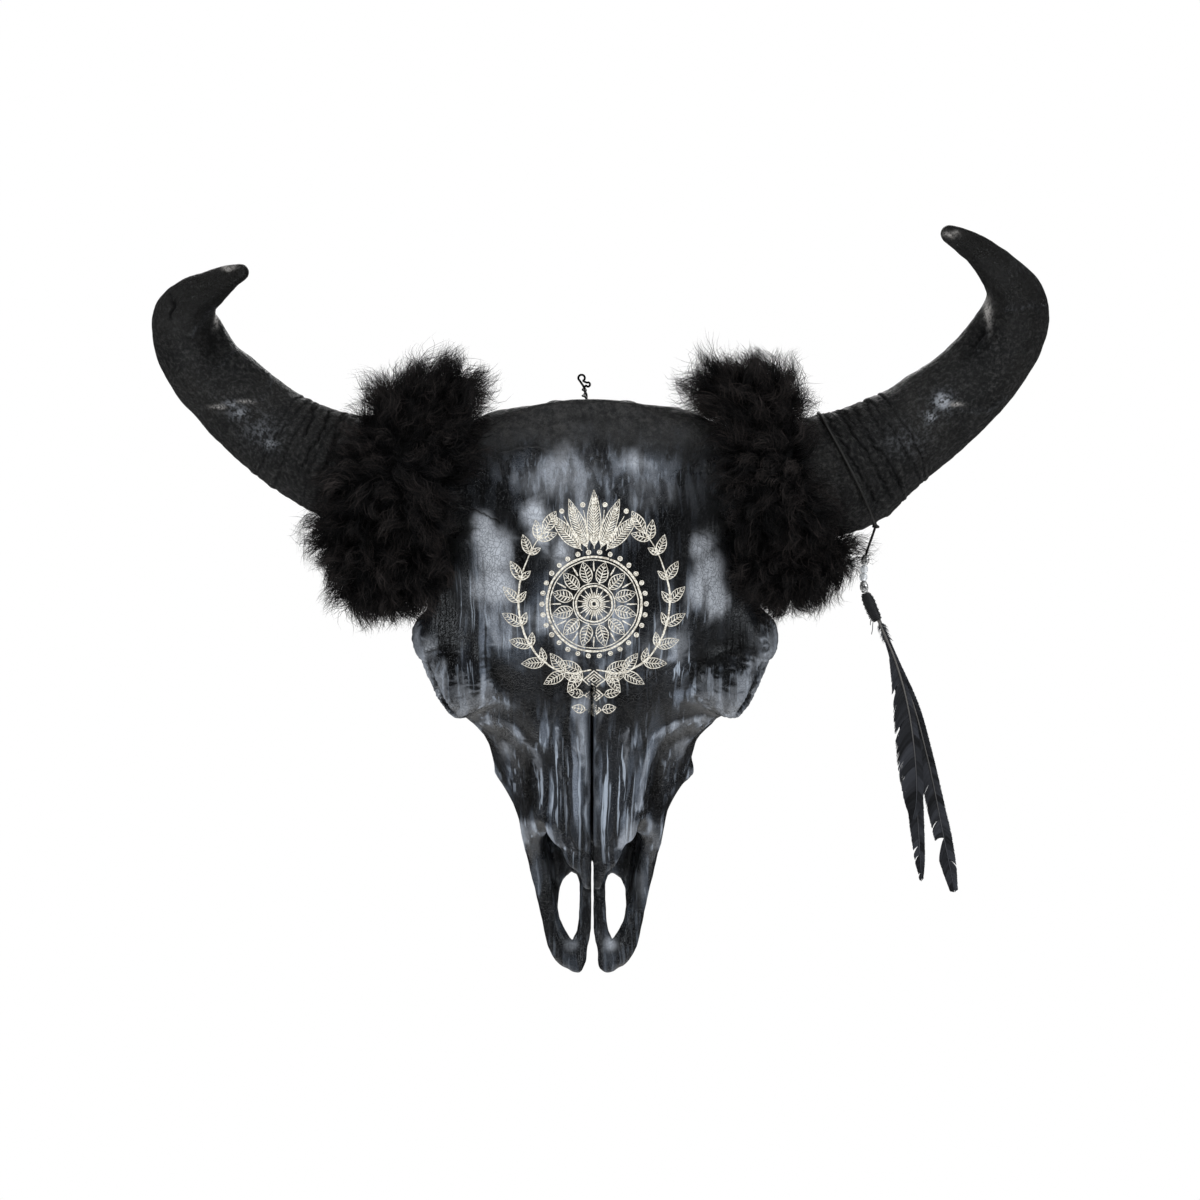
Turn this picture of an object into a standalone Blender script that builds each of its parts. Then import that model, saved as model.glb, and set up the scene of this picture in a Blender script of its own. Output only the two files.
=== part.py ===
# Engraved bison skull: a black painted skull with both horns, a wool strip round each horn base,
# a wire hanging eye behind the crown, and a thong with beads and three feathers on the right horn.
#
# The skull is laid out in its own directions and then leaned as it hangs: x is to the right,
# a runs up the head from the tips of the muzzle, and h is the height over the palate.
# In the finished model +Z is up and the face looks along -Y. The origin is the centre of the eye.
import math
import random

import bmesh
import bpy
from mathutils import Matrix, Vector, noise
from mathutils.bvhtree import BVHTree

MM = 0.001
GAP = 0.4  # mm left between two pieces that touch

# Driving dimensions, in millimetres
LEAN = math.radians(8.0)  # the muzzle hangs this far back from plumb
EYE = (-8.2, 30.0, 458.8)  # centre of the hanging eye: x, distance from the wall, height over the muzzle
EYE_RADIUS = 2.4  # of the wire's centreline
WIRE_RADIUS = 0.7
LEFT_SOCKET_REACH = 0.96  # the left socket stands out a little less than the right
SOCKET_RADIUS = 29.0
HORN_ROOT_X = 128.0  # where bone ends and horn begins, under the wool
TIE_RADIUS = 1.1
THONG_RADIUS = 0.9
BEAD_BORE = 1.35
HANG_DISTANCE = 181.0  # of the thong and all that hangs on it, from the wall
VOXEL = 2.6
SKULL_TRIANGLES = 4350
WOOL_TRIANGLES = 600

# Half outlines across the skull, dorsal midline round to palate midline, as (x, h) at each a
SECTIONS = {
    118: [(0, 88), (13, 87), (25, 83), (36, 74), (46, 62), (53, 44), (49, 20), (35, 5), (0, 5)],
    140: [(0, 96), (15, 94), (28, 89), (39, 79), (52, 65), (60, 45), (56, 20), (45, 5), (0, 5)],
    158: [(0, 102), (16, 100), (30, 95), (42, 85), (60, 68), (70, 47), (63, 20), (50, 5), (0, 5)],
    178: [(0, 108), (17, 106), (33, 101), (46, 92), (66, 76), (76, 54), (64, 22), (54, 5), (0, 5)],
    200: [(0, 116), (20, 114), (38, 109), (57, 100), (77, 85), (80, 62), (64, 26), (56, 5), (0, 5)],
    222: [(0, 125), (26, 123), (50, 118), (74, 109), (98, 95), (92, 73), (64, 34), (56, 5), (0, 5)],
    248: [(0, 136), (30, 134), (60, 130), (88, 122), (112, 108), (98, 82), (62, 45), (52, 8), (0, 8)],
    280: [(0, 149), (32, 149), (64, 147), (97, 139), (127, 124), (106, 98), (60, 66), (46, 12), (0, 12)],
    310: [(0, 160), (34, 160), (68, 158), (98, 150), (122, 134), (98, 114), (58, 86), (38, 20), (0, 18)],
    345: [(0, 169), (36, 170), (72, 168), (101, 160), (117, 144), (84, 124), (58, 96), (36, 42), (0, 34)],
    380: [(0, 174), (38, 175), (74, 174), (104, 167), (120, 150), (88, 128), (64, 100), (44, 50), (0, 42)],
    410: [(0, 174), (38, 175), (74, 174), (106, 168), (124, 150), (94, 124), (72, 98), (48, 52), (0, 42)],
    436: [(0, 168), (36, 169), (70, 167), (98, 160), (112, 144), (92, 118), (78, 92), (52, 52), (0, 42)],
    456: [(0, 157), (30, 157), (58, 154), (78, 146), (86, 132), (80, 108), (72, 84), (50, 52), (0, 46)],
    466: [(0, 146), (24, 146), (46, 143), (60, 135), (66, 120), (62, 100), (54, 80), (38, 60), (0, 56)],
}

# Outline of the opening beside the midline of the front jaw, as (x, z above the muzzle tips)
FISSURE = [
    (15.8, 75.5), (22.5, 70.5), (25.4, 63), (26.8, 49), (25, 39), (20.8, 30), (15.8, 21.5), (12.4, 28.5),
    (10.6, 39), (10, 55), (10, 66.5), (12, 73),
]

# Centreline of each horn as (x, distance from the wall, z above the muzzle tips, radius)
LEFT_HORN = [
    (-HORN_ROOT_X, 191, 380, 42.5), (-160, 187, 386, 41), (-191, 183, 395, 38.6), (-214, 179, 406, 35.6),
    (-234, 176, 418, 33.2), (-250, 174, 431, 32), (-266, 174, 446, 30.6), (-282, 175, 462, 28.6),
    (-293.5, 178, 482, 27.2), (-297, 186, 500.5, 24.2), (-289.5, 198, 513.5, 18), (-275.5, 213, 521.5, 12.8),
    (-262.5, 228, 528.3, 9), (-251.5, 240, 532, 6),
]
RIGHT_HORN = [
    (HORN_ROOT_X, 191, 380, 44), (160, 187, 383, 44.8), (188, 183, 390.5, 44.6), (212, 179, 404.5, 39),
    (232.5, 175, 417, 35.3), (250, 173, 430, 33.6), (270.5, 173, 446, 31.2), (287, 175, 463, 29.6),
    (301.5, 180, 483.5, 28), (308.5, 188, 501, 25.8), (307.5, 199, 516.5, 21.5), (298.5, 211, 530, 16),
    (282, 224, 545.5, 11.8), (268.5, 234, 553.8, 9.2), (256, 244, 559.5, 6.4),
]

# Wool round each horn root, as (x, distance, z) and the radii of each lobe
LEFT_WOOL = [
    ((-125, 190, 421), (46, 56, 46)), ((-97, 190, 447), (25, 34, 28)), ((-150, 190, 371), (58, 68, 58)),
    ((-159, 188, 319), (41, 58, 42)), ((-128, 190, 332), (32, 60, 54)), ((-92, 216, 404), (19, 34, 36)),
    ((-110, 214, 338), (17, 38, 42)),
]
RIGHT_WOOL = [
    ((122, 190, 424), (43, 56, 47)), ((88, 190, 442), (28, 36, 28)), ((136, 190, 372), (50, 68, 56)),
    ((160, 188, 330), (36, 56, 36)), ((132, 190, 318), (38, 58, 38)), ((168, 188, 308), (15, 34, 17)),
    ((103, 216, 398), (18, 34, 40)), ((108, 212, 334), (16, 38, 36)),
]

# Where the thong hangs, as (x, z), and how far each bead reaches down it as (top, bottom, radius)
THONG_LINE = [(205.7, 340.5), (201.6, 328.5), (200.0, 318), (199.4, 308), (200.6, 299.5)]
BEADS = [
    ("bead_top", 327.4, 320.0, 3.1), ("bead_upper", 319.6, 314.1, 2.9),
    ("bead_lower", 313.7, 308.2, 2.9), ("bead_bottom", 307.8, 299.6, 3.1),
]
WRAP_LINE = [(200.9, 299.1), (204.6, 290.0), (209.6, 279.4)]

# Each feather's quill as (x, z, width to its left, width to its right)
FEATHERS = {
    "feather_left": (186.5, [
        (210.6, 278.0, 1.2, 1.2), (217, 264, 1.4, 1.4), (222.6, 250, 6, 2), (229.3, 228, 11, 3.5),
        (233.8, 206, 13, 4.5), (237.2, 180, 13.5, 5), (238.6, 156, 11, 5), (238, 143, 7.5, 4), (236, 133.5, 2, 1.6),
    ]),
    "feather_middle": (182.0, [
        (211.4, 278.4, 1.2, 1.2), (220.7, 250, 3, 3), (228.9, 213, 7, 6), (234.9, 176, 8, 6.5),
        (238.6, 147, 7, 5.2), (240.4, 124, 6, 4.4), (241.8, 103, 4, 3.4), (243, 88.4, 1.5, 1.2),
    ]),
    "feather_right": (177.5, [
        (212.2, 278.4, 1.2, 1.2), (223.4, 250, 4, 2.4), (236.5, 217, 8, 4.2), (245.8, 183, 9, 4.6),
        (252, 156, 8.6, 5), (258, 126, 7.4, 6), (263.5, 100, 6, 5), (267.5, 79.5, 2, 1.5),
    ]),
}


def stand(x, distance, z):
    """A point given by its distance from the wall, in metres from the eye."""
    return Vector((x - EYE[0], EYE[1] - distance, z - EYE[2])) * MM


def lean(x, a, h):
    """A point of the skull where it hangs, in metres."""
    back, up = a * math.sin(LEAN) + h * math.cos(LEAN), a * math.cos(LEAN) - h * math.sin(LEAN)
    return stand(x, back, up)


def catmull(p0, p1, p2, p3, t):
    """A smooth curve through p1 and p2, at share t of the way."""
    return 0.5 * (
        2 * p1 + (p2 - p0) * t + (2 * p0 - 5 * p1 + 4 * p2 - p3) * t * t + (3 * p1 - p0 - 3 * p2 + p3) * t**3
    )


def smooth_line(points, steps):
    """The points joined by a smooth curve, with this many steps in each stretch."""
    points = [Vector(p) for p in points]
    ends = [2 * points[0] - points[1], *points, 2 * points[-1] - points[-2]]
    line = []
    for i in range(len(points) - 1):
        line += [catmull(*ends[i : i + 4], step / steps) for step in range(steps)]
    return [*line, points[-1]]


def clear_scene():
    for obj in list(bpy.data.objects):
        bpy.data.objects.remove(obj)


def finish_material(name, colour, roughness, metallic=0.0):
    material = bpy.data.materials.new(name)
    material.use_nodes = True
    shader = material.node_tree.nodes["Principled BSDF"]
    shader.inputs["Base Color"].default_value = (*colour, 1)
    shader.inputs["Roughness"].default_value = roughness
    shader.inputs["Metallic"].default_value = metallic
    return material


def object_from(name, shape, material=None):
    """A scene object that holds this bmesh, with its faces pointing out."""
    bmesh.ops.recalc_face_normals(shape, faces=shape.faces)
    mesh = bpy.data.meshes.new(name)
    shape.to_mesh(mesh)
    shape.free()
    obj = bpy.data.objects.new(name, mesh)
    bpy.context.scene.collection.objects.link(obj)
    if material:
        mesh.materials.append(material)
    return obj


def loft(shape, rings):
    """Closed rings joined side to side, with flat ends."""
    rows = [[shape.verts.new(p) for p in ring] for ring in rings]
    for row, after in zip(rows, rows[1:]):
        for i in range(len(row)):
            j = (i + 1) % len(row)
            shape.faces.new((row[i], row[j], after[j], after[i]))
    shape.faces.new(rows[0][::-1])
    shape.faces.new(rows[-1])


def sweep(shape, line, radii, sides=12, flat=1.0, across=Vector((1, 0, 0))):
    """An oval tube along a line. flat is its height over its width, and across sets where its width lies."""
    rings = []
    for i, point in enumerate(line):
        along = (line[min(i + 1, len(line) - 1)] - line[max(i - 1, 0)]).normalized()
        up = along.cross(across).normalized()
        side = up.cross(along).normalized()
        turns = [math.tau * k / sides for k in range(sides)]
        rings.append(
            [point + side * (radii[i] * math.cos(t)) + up * (radii[i] * flat * math.sin(t)) for t in turns]
        )
    loft(shape, rings)


def tube(shape, line, radius, sides=6, closed=False):
    """A round tube of one radius along a line, without twist."""
    count = len(line)
    rings, side = [], None
    for i, point in enumerate(line):
        before = line[(i - 1) % count] if closed or i else point
        after = line[(i + 1) % count] if closed or i < count - 1 else point
        along = (after - before).normalized()
        side = along.orthogonal() if side is None else side - along * side.dot(along)
        side.normalize()
        up = along.cross(side)
        turns = [math.tau * k / sides for k in range(sides)]
        rings.append([shape.verts.new(point + (side * math.cos(t) + up * math.sin(t)) * radius) for t in turns])
    pairs = list(zip(rings, rings[1:] + rings[:1])) if closed else list(zip(rings, rings[1:]))
    shift = best_shift(rings[-1], rings[0]) if closed else 0
    for row, after in pairs:
        step = shift if closed and after is rings[0] else 0
        for k in range(sides):
            j = (k + 1) % sides
            shape.faces.new((row[k], row[j], after[(j + step) % sides], after[(k + step) % sides]))
    if not closed:
        shape.faces.new(rings[0][::-1])
        shape.faces.new(rings[-1])


def best_shift(row, after):
    """How far to turn the second ring so that it meets the first without a twist."""
    def miss(step):
        return sum((v.co - after[(k + step) % len(row)].co).length for k, v in enumerate(row))
    return min(range(len(row)), key=miss)


def bar(shape, points, steps=5, sides=12, flat=1.0, across=Vector((1, 0, 0))):
    """A tube through points given as (x, a, h, radius) on the skull."""
    line = smooth_line([lean(*p[:3]) for p in points], steps)
    radii = [r.x * MM for r in smooth_line([(p[3], 0, 0) for p in points], steps)]
    sweep(shape, line, radii, sides, flat, across)


def ball(shape, x, a, h, radii, segments=20):
    """An ellipsoid on the skull, with radii along x, a and h."""
    frame = Matrix.Translation(lean(x, a, h)) @ Matrix.Rotation(LEAN, 4, "X")
    size = Matrix.Diagonal((radii[0] * MM, radii[2] * MM, radii[1] * MM, 1))
    bmesh.ops.create_uvsphere(shape, u_segments=segments, v_segments=segments // 2, radius=1, matrix=frame @ size)


def ring(shape, x, a, h, radius, thickness, face, sides=(28, 10)):
    """A round rim whose opening looks along face."""
    turn = Vector(face).to_track_quat("Z", "Y").to_matrix().to_4x4()
    frame = Matrix.Translation(lean(x, a, h)) @ turn
    rows = []
    for i in range(sides[0]):
        t = math.tau * i / sides[0]
        out = Vector((math.cos(t), math.sin(t), 0))
        row = []
        for k in range(sides[1]):
            u = math.tau * k / sides[1]
            offset = out * (radius + thickness * math.cos(u)) + Vector((0, 0, thickness * math.sin(u)))
            row.append(shape.verts.new(frame @ (offset * MM)))
        rows.append(row)
    for i, row in enumerate(rows):
        after = rows[(i + 1) % len(rows)]
        for k in range(len(row)):
            j = (k + 1) % len(row)
            shape.faces.new((row[k], row[j], after[j], after[k]))


def occiput_shift(a, h):
    """The back of the head leans forward below the crown."""
    share = max(0.0, min(1.0, (a - 370) / 90))
    return a - 0.2 * (165 - h) * share * share * (3 - 2 * share)


def head_shell(shape):
    """Nose bridge, cheeks, forehead and braincase as one lofted form."""
    stations = sorted(SECTIONS)
    columns = [smooth_line([(x, 0, h) for x, h in SECTIONS[a]], 4) for a in stations]
    tracks = [
        smooth_line([(column[i].x, a, column[i].z) for a, column in zip(stations, columns)], 3)
        for i in range(len(columns[0]))
    ]
    rings = []
    for row in zip(*tracks):
        half = [(max(p.x, 0.0), p.y, p.z) for p in row]
        left = [(-x, a, h) for x, a, h in half[-2:0:-1]]
        rings.append([lean(x, occiput_shift(a, h), h) for x, a, h in half + left])
    loft(shape, rings)


def nasal_bones(shape):
    """Two long plates over the nose, each ending in a spike beside the midline."""
    for side in (-1, 1):
        bar(shape, [(side * 19, 215, 112, 14), (side * 17.5, 160, 92, 14), (side * 14.8, 125, 80, 12.4),
                    (side * 12.6, 105, 76.5, 9.6), (side * 11, 97, 75, 7)], flat=0.5)
        bar(shape, [(side * 8, 140, 88, 8), (side * 6.6, 105, 78, 6), (side * 5.6, 88, 72, 4.8),
                    (side * 5, 77, 68.5, 3.6)], flat=0.8)


def muzzle_bones(shape):
    """The two front jaw bones: an outer bar, an inner rod and the flat blade that joins them."""
    for side in (-1, 1):
        bar(shape, [(side * 48, 150, 62, 8), (side * 47.5, 122, 52, 8.5), (side * 43, 96, 36, 8.5),
                    (side * 36.5, 64, 23, 8), (side * 30.5, 32, 14, 8.2), (side * 27, 17, 11, 8.6),
                    (side * 19.5, 7, 9, 8.4)], flat=0.8)
        bar(shape, [(side * 46, 150, 34, 10), (side * 45.5, 122, 29, 10.5), (side * 42, 98, 23, 9.5),
                    (side * 37, 72, 17, 7.5)], flat=0.8)
        bar(shape, [(side * 5.4, 130, 16, 5), (side * 5.2, 90, 13, 4.8), (side * 5.4, 58, 11, 4.8),
                    (side * 7.6, 34, 10, 6.6), (side * 11, 16, 9, 8), (side * 11.4, 2, 8, 7.4),
                    (side * 9.8, -4, 7, 6.6)], flat=0.8)
        bar(shape, [(side * 16, 26, 10, 10), (side * 22, 15, 9, 10.5), (side * 16.5, 2, 8, 8.5)], flat=0.6)


def palate_and_teeth(shape):
    bar(shape, [(0, 24, 9, 18), (0, 36, 10, 28), (0, 60, 12, 36), (0, 92, 11, 43), (0, 118, 10, 46),
                (0, 170, 8, 48), (0, 290, 10, 44)], flat=0.14)
    for side in (-1, 1):
        for i, (a, length) in enumerate([(160, 8), (178, 9), (197, 10), (219, 12), (245, 13.5), (272, 13)]):
            ball(shape, side * (44 + 1.6 * i), a, -3, (10.5 + 0.4 * i, length, 17), 12)
            ball(shape, side * (41 + 1.6 * i), a - 0.4 * length, -14, (4.5, 0.5 * length, 8), 10)
            ball(shape, side * (41 + 1.6 * i), a + 0.4 * length, -14, (4.5, 0.5 * length, 8), 10)
        bar(shape, [(side * 22, 285, 20, 8), (side * 23, 312, 12, 6), (side * 24, 330, 18, 5),
                    (side * 22, 352, 36, 6)], flat=0.6)


def eye_sockets(shape):
    """Each socket is a stub of bone with a thick rim, held by the cheek arch below and a strut behind."""
    for side in (-LEFT_SOCKET_REACH, 1):
        face = Vector((side, -0.28, -0.42))
        bar(shape, [(side * 80, 270, 106, 36), (side * 101, 261, 103, 37), (side * 116, 256, 101, 36)],
            sides=20, across=Vector((0, 0, 1)))
        ring(shape, side * 117, 256, 100, SOCKET_RADIUS + 4.5, 7, face)
        bar(shape, [(side * 114, 308, 126, 9), (side * 130, 289, 123, 10), (side * 126, 268, 122, 8)])
        bar(shape, [(side * 88, 227, 80, 10), (side * 103, 230.5, 77, 9.6), (side * 116, 246, 72, 9.5),
                    (side * 120, 285, 70, 8.5), (side * 115, 322, 78, 8),
                    (side * 104, 356, 86, 9), (side * 82, 384, 90, 12)], flat=0.75)
        bar(shape, [(side * 126, 284, 104, 8), (side * 121, 290, 84, 8), (side * 116, 296, 72, 8)])
        bar(shape, [(side * 68, 168, 46, 9), (side * 68, 184, 52, 8.5), (side * 73, 202, 62, 8.5),
                    (side * 86, 218, 74, 10)], flat=0.9)
        ball(shape, side * 72.5, 167, 46, (7, 8, 9), 12)


def back_of_head(shape):
    for side in (-1, 1):
        ball(shape, side * 25, 440, 60, (17, 15, 22))
        bar(shape, [(side * 62, 428, 70, 12), (side * 64, 420, 44, 9), (side * 62, 414, 20, 5.5)])
        ball(shape, side * 50, 392, 46, (13, 17, 13), 14)
        bar(shape, [(side * 84, 380, 96, 10), (side * 90, 408, 100, 10), (side * 84, 436, 112, 9)], flat=0.8)
    bar(shape, [(0, 340, 42, 18), (0, 390, 42, 19), (0, 432, 50, 20)], flat=0.5)
    crest = [(-64, 444, 139, 8), (-34, 456, 147, 8.5), (0, 459, 150, 9), (34, 456, 147, 8.5), (64, 444, 139, 8)]
    bar(shape, crest, across=Vector((0, 1, 0)))


def horn_cores(shape):
    """Bony stumps that carry the horns, each cut square where the horn begins."""
    for side, radius in ((-1, 41), (1, 42.5)):
        line = [stand(side * x, d, z) for x, d, z in ((70, 178, 372), (96, 188, 379), (HORN_ROOT_X + 6, 191, 380))]
        sweep(shape, line, [46 * MM, 44 * MM, radius * MM], 24, across=Vector((0, 1, 0)))


def skull_cutters():
    """What is hollow: nose, sockets, brain opening, throat and the gap between the brow and each arch."""
    shape = bmesh.new()
    bar(shape, [(0, 60, 44, 30), (0, 100, 46, 35), (0, 135, 48, 36), (0, 170, 52, 30), (0, 205, 54, 16)],
        flat=0.72, sides=20)
    bar(shape, [(0, 470, 84, 16), (0, 440, 76, 16), (0, 400, 84, 22), (0, 370, 92, 12)], sides=16)
    bar(shape, [(0, 345, 22, 17), (0, 318, 22, 18), (0, 290, 26, 13), (0, 262, 32, 7)], sides=16)
    sockets = bmesh.new()
    for side in (-1, 1):
        bar(shape, [(side * 37, 137, 78, 2.5), (side * 38.5, 122, 69, 7), (side * 36, 100, 60, 10),
                    (side * 30, 80, 50, 12)], sides=14)
        reach = LEFT_SOCKET_REACH * side if side < 0 else side
        bar(sockets, [(reach * 160, 248, 92, 27), (reach * 122, 252, 99, SOCKET_RADIUS),
                      (reach * 96, 256, 104, 26), (reach * 78, 264, 106, 12)], sides=20, across=Vector((0, 0, 1)))
        bar(sockets, [(side * 88, 336, 40, 12), (side * 88, 334, 72, 15), (side * 86, 334, 98, 15),
                      (side * 84, 330, 114, 10)], sides=16, across=Vector((0, 0, 1)), flat=1.5)
    return [object_from("nose_cutter", shape), object_from("socket_cutter", sockets)]


def apply_modifiers(obj):
    """The object's mesh as its modifiers leave it, with the modifiers gone."""
    graph = bpy.context.evaluated_depsgraph_get()
    mesh = bpy.data.meshes.new_from_object(obj.evaluated_get(graph))
    obj.modifiers.clear()
    obj.data = mesh


def remesh(obj, voxel, smoothing=0):
    """One closed skin over all the shapes in the object, with its corners softened."""
    modifier = obj.modifiers.new("Skin", "REMESH")
    modifier.mode = "VOXEL"
    modifier.voxel_size = voxel * MM
    if smoothing:
        soften = obj.modifiers.new("Soften", "SMOOTH")
        soften.factor = 0.5
        soften.iterations = smoothing
    apply_modifiers(obj)


def cut(obj, cutter):
    modifier = obj.modifiers.new("Cut", "BOOLEAN")
    modifier.operation = "DIFFERENCE"
    modifier.object = cutter
    apply_modifiers(obj)


def thin_out(obj, triangles):
    """Fewer and larger faces where the form is plain."""
    obj.data.calc_loop_triangles()
    modifier = obj.modifiers.new("Thin", "DECIMATE")
    modifier.ratio = triangles / len(obj.data.loop_triangles)
    modifier.use_collapse_triangulate = True
    apply_modifiers(obj)


def keep_largest(obj):
    """Drops every loose scrap that a cut leaves beside the main body."""
    shape = bmesh.new()
    shape.from_mesh(obj.data)
    left, groups = set(shape.verts), []
    while left:
        group, edge = set(), [left.pop()]
        while edge:
            vert = edge.pop()
            group.add(vert)
            near = {e.other_vert(vert) for e in vert.link_edges} & left
            left -= near
            edge += near
        groups.append(group)
    largest = max(groups, key=len)
    bmesh.ops.delete(shape, geom=[v for v in shape.verts if v not in largest], context="VERTS")
    shape.to_mesh(obj.data)
    shape.free()


def fissure_cutter(side):
    """The tear-shaped opening between a front jaw bone and its inner rod."""
    shape = bmesh.new()
    loft(shape, [[stand(side * x, distance, z) for x, z in FISSURE] for distance in (-12, 70)])
    cutter = object_from("fissure", shape)
    cleaned = bmesh.new()
    cleaned.from_mesh(cutter.data)
    bmesh.ops.recalc_face_normals(cleaned, faces=cleaned.faces)
    cleaned.to_mesh(cutter.data)
    cleaned.free()
    return cutter


def slot_cutter(name, points, width, depth):
    """A thin wedge that opens a seam between two bones."""
    shape = bmesh.new()
    rings = []
    for a, h, wide in points:
        half = 0.5 * width * wide
        corners = ((-half, 8), (half, 8), (half * 0.7, -depth), (-half * 0.7, -depth))
        rings.append([lean(x, a, h + up) for x, up in corners])
    loft(shape, rings)
    return object_from(name, shape)


def root_cutter(side):
    """A block that trims the bone square just short of the horn."""
    shape = bmesh.new()
    centre = stand(side * (HORN_ROOT_X - GAP + 20), 190, 380)
    size = Matrix.Diagonal((40 * MM, 130 * MM, 130 * MM, 1))
    bmesh.ops.create_cube(shape, size=1, matrix=Matrix.Translation(centre) @ size)
    return object_from("root_cutter", shape)


def wire_ends():
    """Where each leg of the wire enters the back of the head, from outside to inside."""
    return [[stand(x, 104, 437), stand(x * 1.1 + 0.5, 124, 426)] for x in (-11.5, 2.5)]


def wire_bores():
    bores = []
    for line in wire_ends():
        shape = bmesh.new()
        start = line[0] + (line[0] - line[1]) * 0.6
        end = line[1] + (line[1] - line[0]).normalized() * GAP * MM
        tube(shape, [start, end], (WIRE_RADIUS + GAP) * MM, 8)
        bores.append(object_from("bore", shape))
    return bores


def make_skull(material):
    shape = bmesh.new()
    for build in (head_shell, nasal_bones, muzzle_bones, palate_and_teeth, eye_sockets, back_of_head, horn_cores):
        build(shape)
    skull = object_from("skull", shape, material)
    remesh(skull, VOXEL)
    for cutter in skull_cutters():
        remesh(cutter, VOXEL)
        cut(skull, cutter)
        bpy.data.objects.remove(cutter)
    remesh(skull, VOXEL, smoothing=4)
    keep_largest(skull)
    thin_out(skull, SKULL_TRIANGLES)
    nose_seam = [(252, 131, 0.5), (225, 123, 1), (150, 96, 1.1), (100, 78, 1.2), (66, 70, 1.4)]
    muzzle_seam = [(88, 14, 1), (70, 10, 1.1), (32, 9, 1.2), (24, 8.5, 2.6), (14, 8, 5.4), (4, 7.5, 5), (-12, 7, 3)]
    fine_cutters = [
        slot_cutter("nose_seam", nose_seam, 1.8, 9),
        slot_cutter("muzzle_seam", muzzle_seam, 1.8, 22),
        fissure_cutter(-1),
        fissure_cutter(1),
        root_cutter(-1),
        root_cutter(1),
        *wire_bores(),
    ]
    for cutter in fine_cutters:
        cut(skull, cutter)
        bpy.data.objects.remove(cutter)
    keep_largest(skull)
    skull.data.materials.clear()
    skull.data.materials.append(material)
    skull.data.shade_smooth()
    return skull


def horn_line(stations, steps=2):
    """Centre points and radii of a horn."""
    line = smooth_line([stand(*s[:3]) for s in stations], steps)
    radii = [r.x * MM for r in smooth_line([(s[3], 0, 0) for s in stations], steps)]
    return line, radii


def horn_rings(line, radii, sides, grow=0.0):
    """Rings across a horn, square to its centreline, with a low keel on the outer curve."""
    across = Vector((0, -1, 0))
    rings = []
    for i, point in enumerate(line):
        along = (line[min(i + 1, len(line) - 1)] - line[max(i - 1, 0)]).normalized()
        if i == 0:
            along = Vector((math.copysign(1, line[1].x), 0, 0))
        front = (across - along * across.dot(along)).normalized()
        side = along.cross(front)
        ring_points = []
        for k in range(sides):
            t = math.tau * k / sides
            size = radii[i] + grow
            ring_points.append(point + front * (size * 0.96 * math.cos(t)) + side * (size * math.sin(t)))
        rings.append(ring_points)
    return rings


def make_horn(name, stations, material):
    """A tapering horn with low growth rings near its root and a blunt tip."""
    line, radii = horn_line(stations)
    radii = [
        r * (1 + (0.02 * math.sin(i * 2.4) if 2 < i < 10 else 0)) for i, r in enumerate(radii)
    ]
    tip = (line[-1] - line[-2]).normalized()
    line += [line[-1] + tip * radii[-1] * 0.6, line[-1] + tip * radii[-1] * 0.95]
    radii += [radii[-1] * 0.72, radii[-1] * 0.3]
    shape = bmesh.new()
    loft(shape, horn_rings(line, radii, 16))
    horn = object_from(name, shape, material)
    horn.data.shade_smooth()
    return horn


def horn_cutter(stations):
    """A sleeve a little larger than the horn, which clears the wool from it."""
    line, radii = horn_line(stations[:5], 1)
    line[0] = line[0] - Vector((math.copysign(6 * MM, line[0].x), 0, 0))
    shape = bmesh.new()
    loft(shape, horn_rings(line, radii, 18, grow=3.8 * MM))
    return object_from("sleeve", shape)


def skull_cutter(skull):
    """A coarse skin just outside the skull."""
    cutter = skull.copy()
    cutter.data = skull.data.copy()
    bpy.context.scene.collection.objects.link(cutter)
    swell = cutter.modifiers.new("Swell", "DISPLACE")
    swell.strength = 3.4 * MM
    swell.mid_level = 0
    apply_modifiers(cutter)
    remesh(cutter, 5.0)
    return cutter


def make_wool(name, lobes, stations, cutters, material, seed):
    """A lumpy sleeve of wool round a horn root, cut clear of what it surrounds."""
    shape = bmesh.new()
    for (x, distance, z), (rx, rd, rz) in lobes:
        size = Matrix.Diagonal((rx * MM, rd * MM, rz * MM, 1))
        frame = Matrix.Translation(stand(x, distance, z))
        bmesh.ops.create_icosphere(shape, subdivisions=3, radius=1, matrix=frame @ size)
    wool = object_from(name, shape, material)
    remesh(wool, 6.0, smoothing=6)
    random.seed(seed)
    offset = Vector([random.uniform(0, 50) for _ in range(3)])
    for vert in wool.data.vertices:
        lump = noise.noise(vert.co * 38 + offset)
        vert.co += vert.normal * (lump * 5.0 * MM)
    sleeve = horn_cutter(stations)
    for cutter in (sleeve, *cutters):
        cut(wool, cutter)
    bpy.data.objects.remove(sleeve)
    remesh(wool, 4.0)
    keep_largest(wool)
    thin_out(wool, WOOL_TRIANGLES)
    keep_largest(wool)
    wool.data.materials.clear()
    wool.data.materials.append(material)
    return wool


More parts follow.
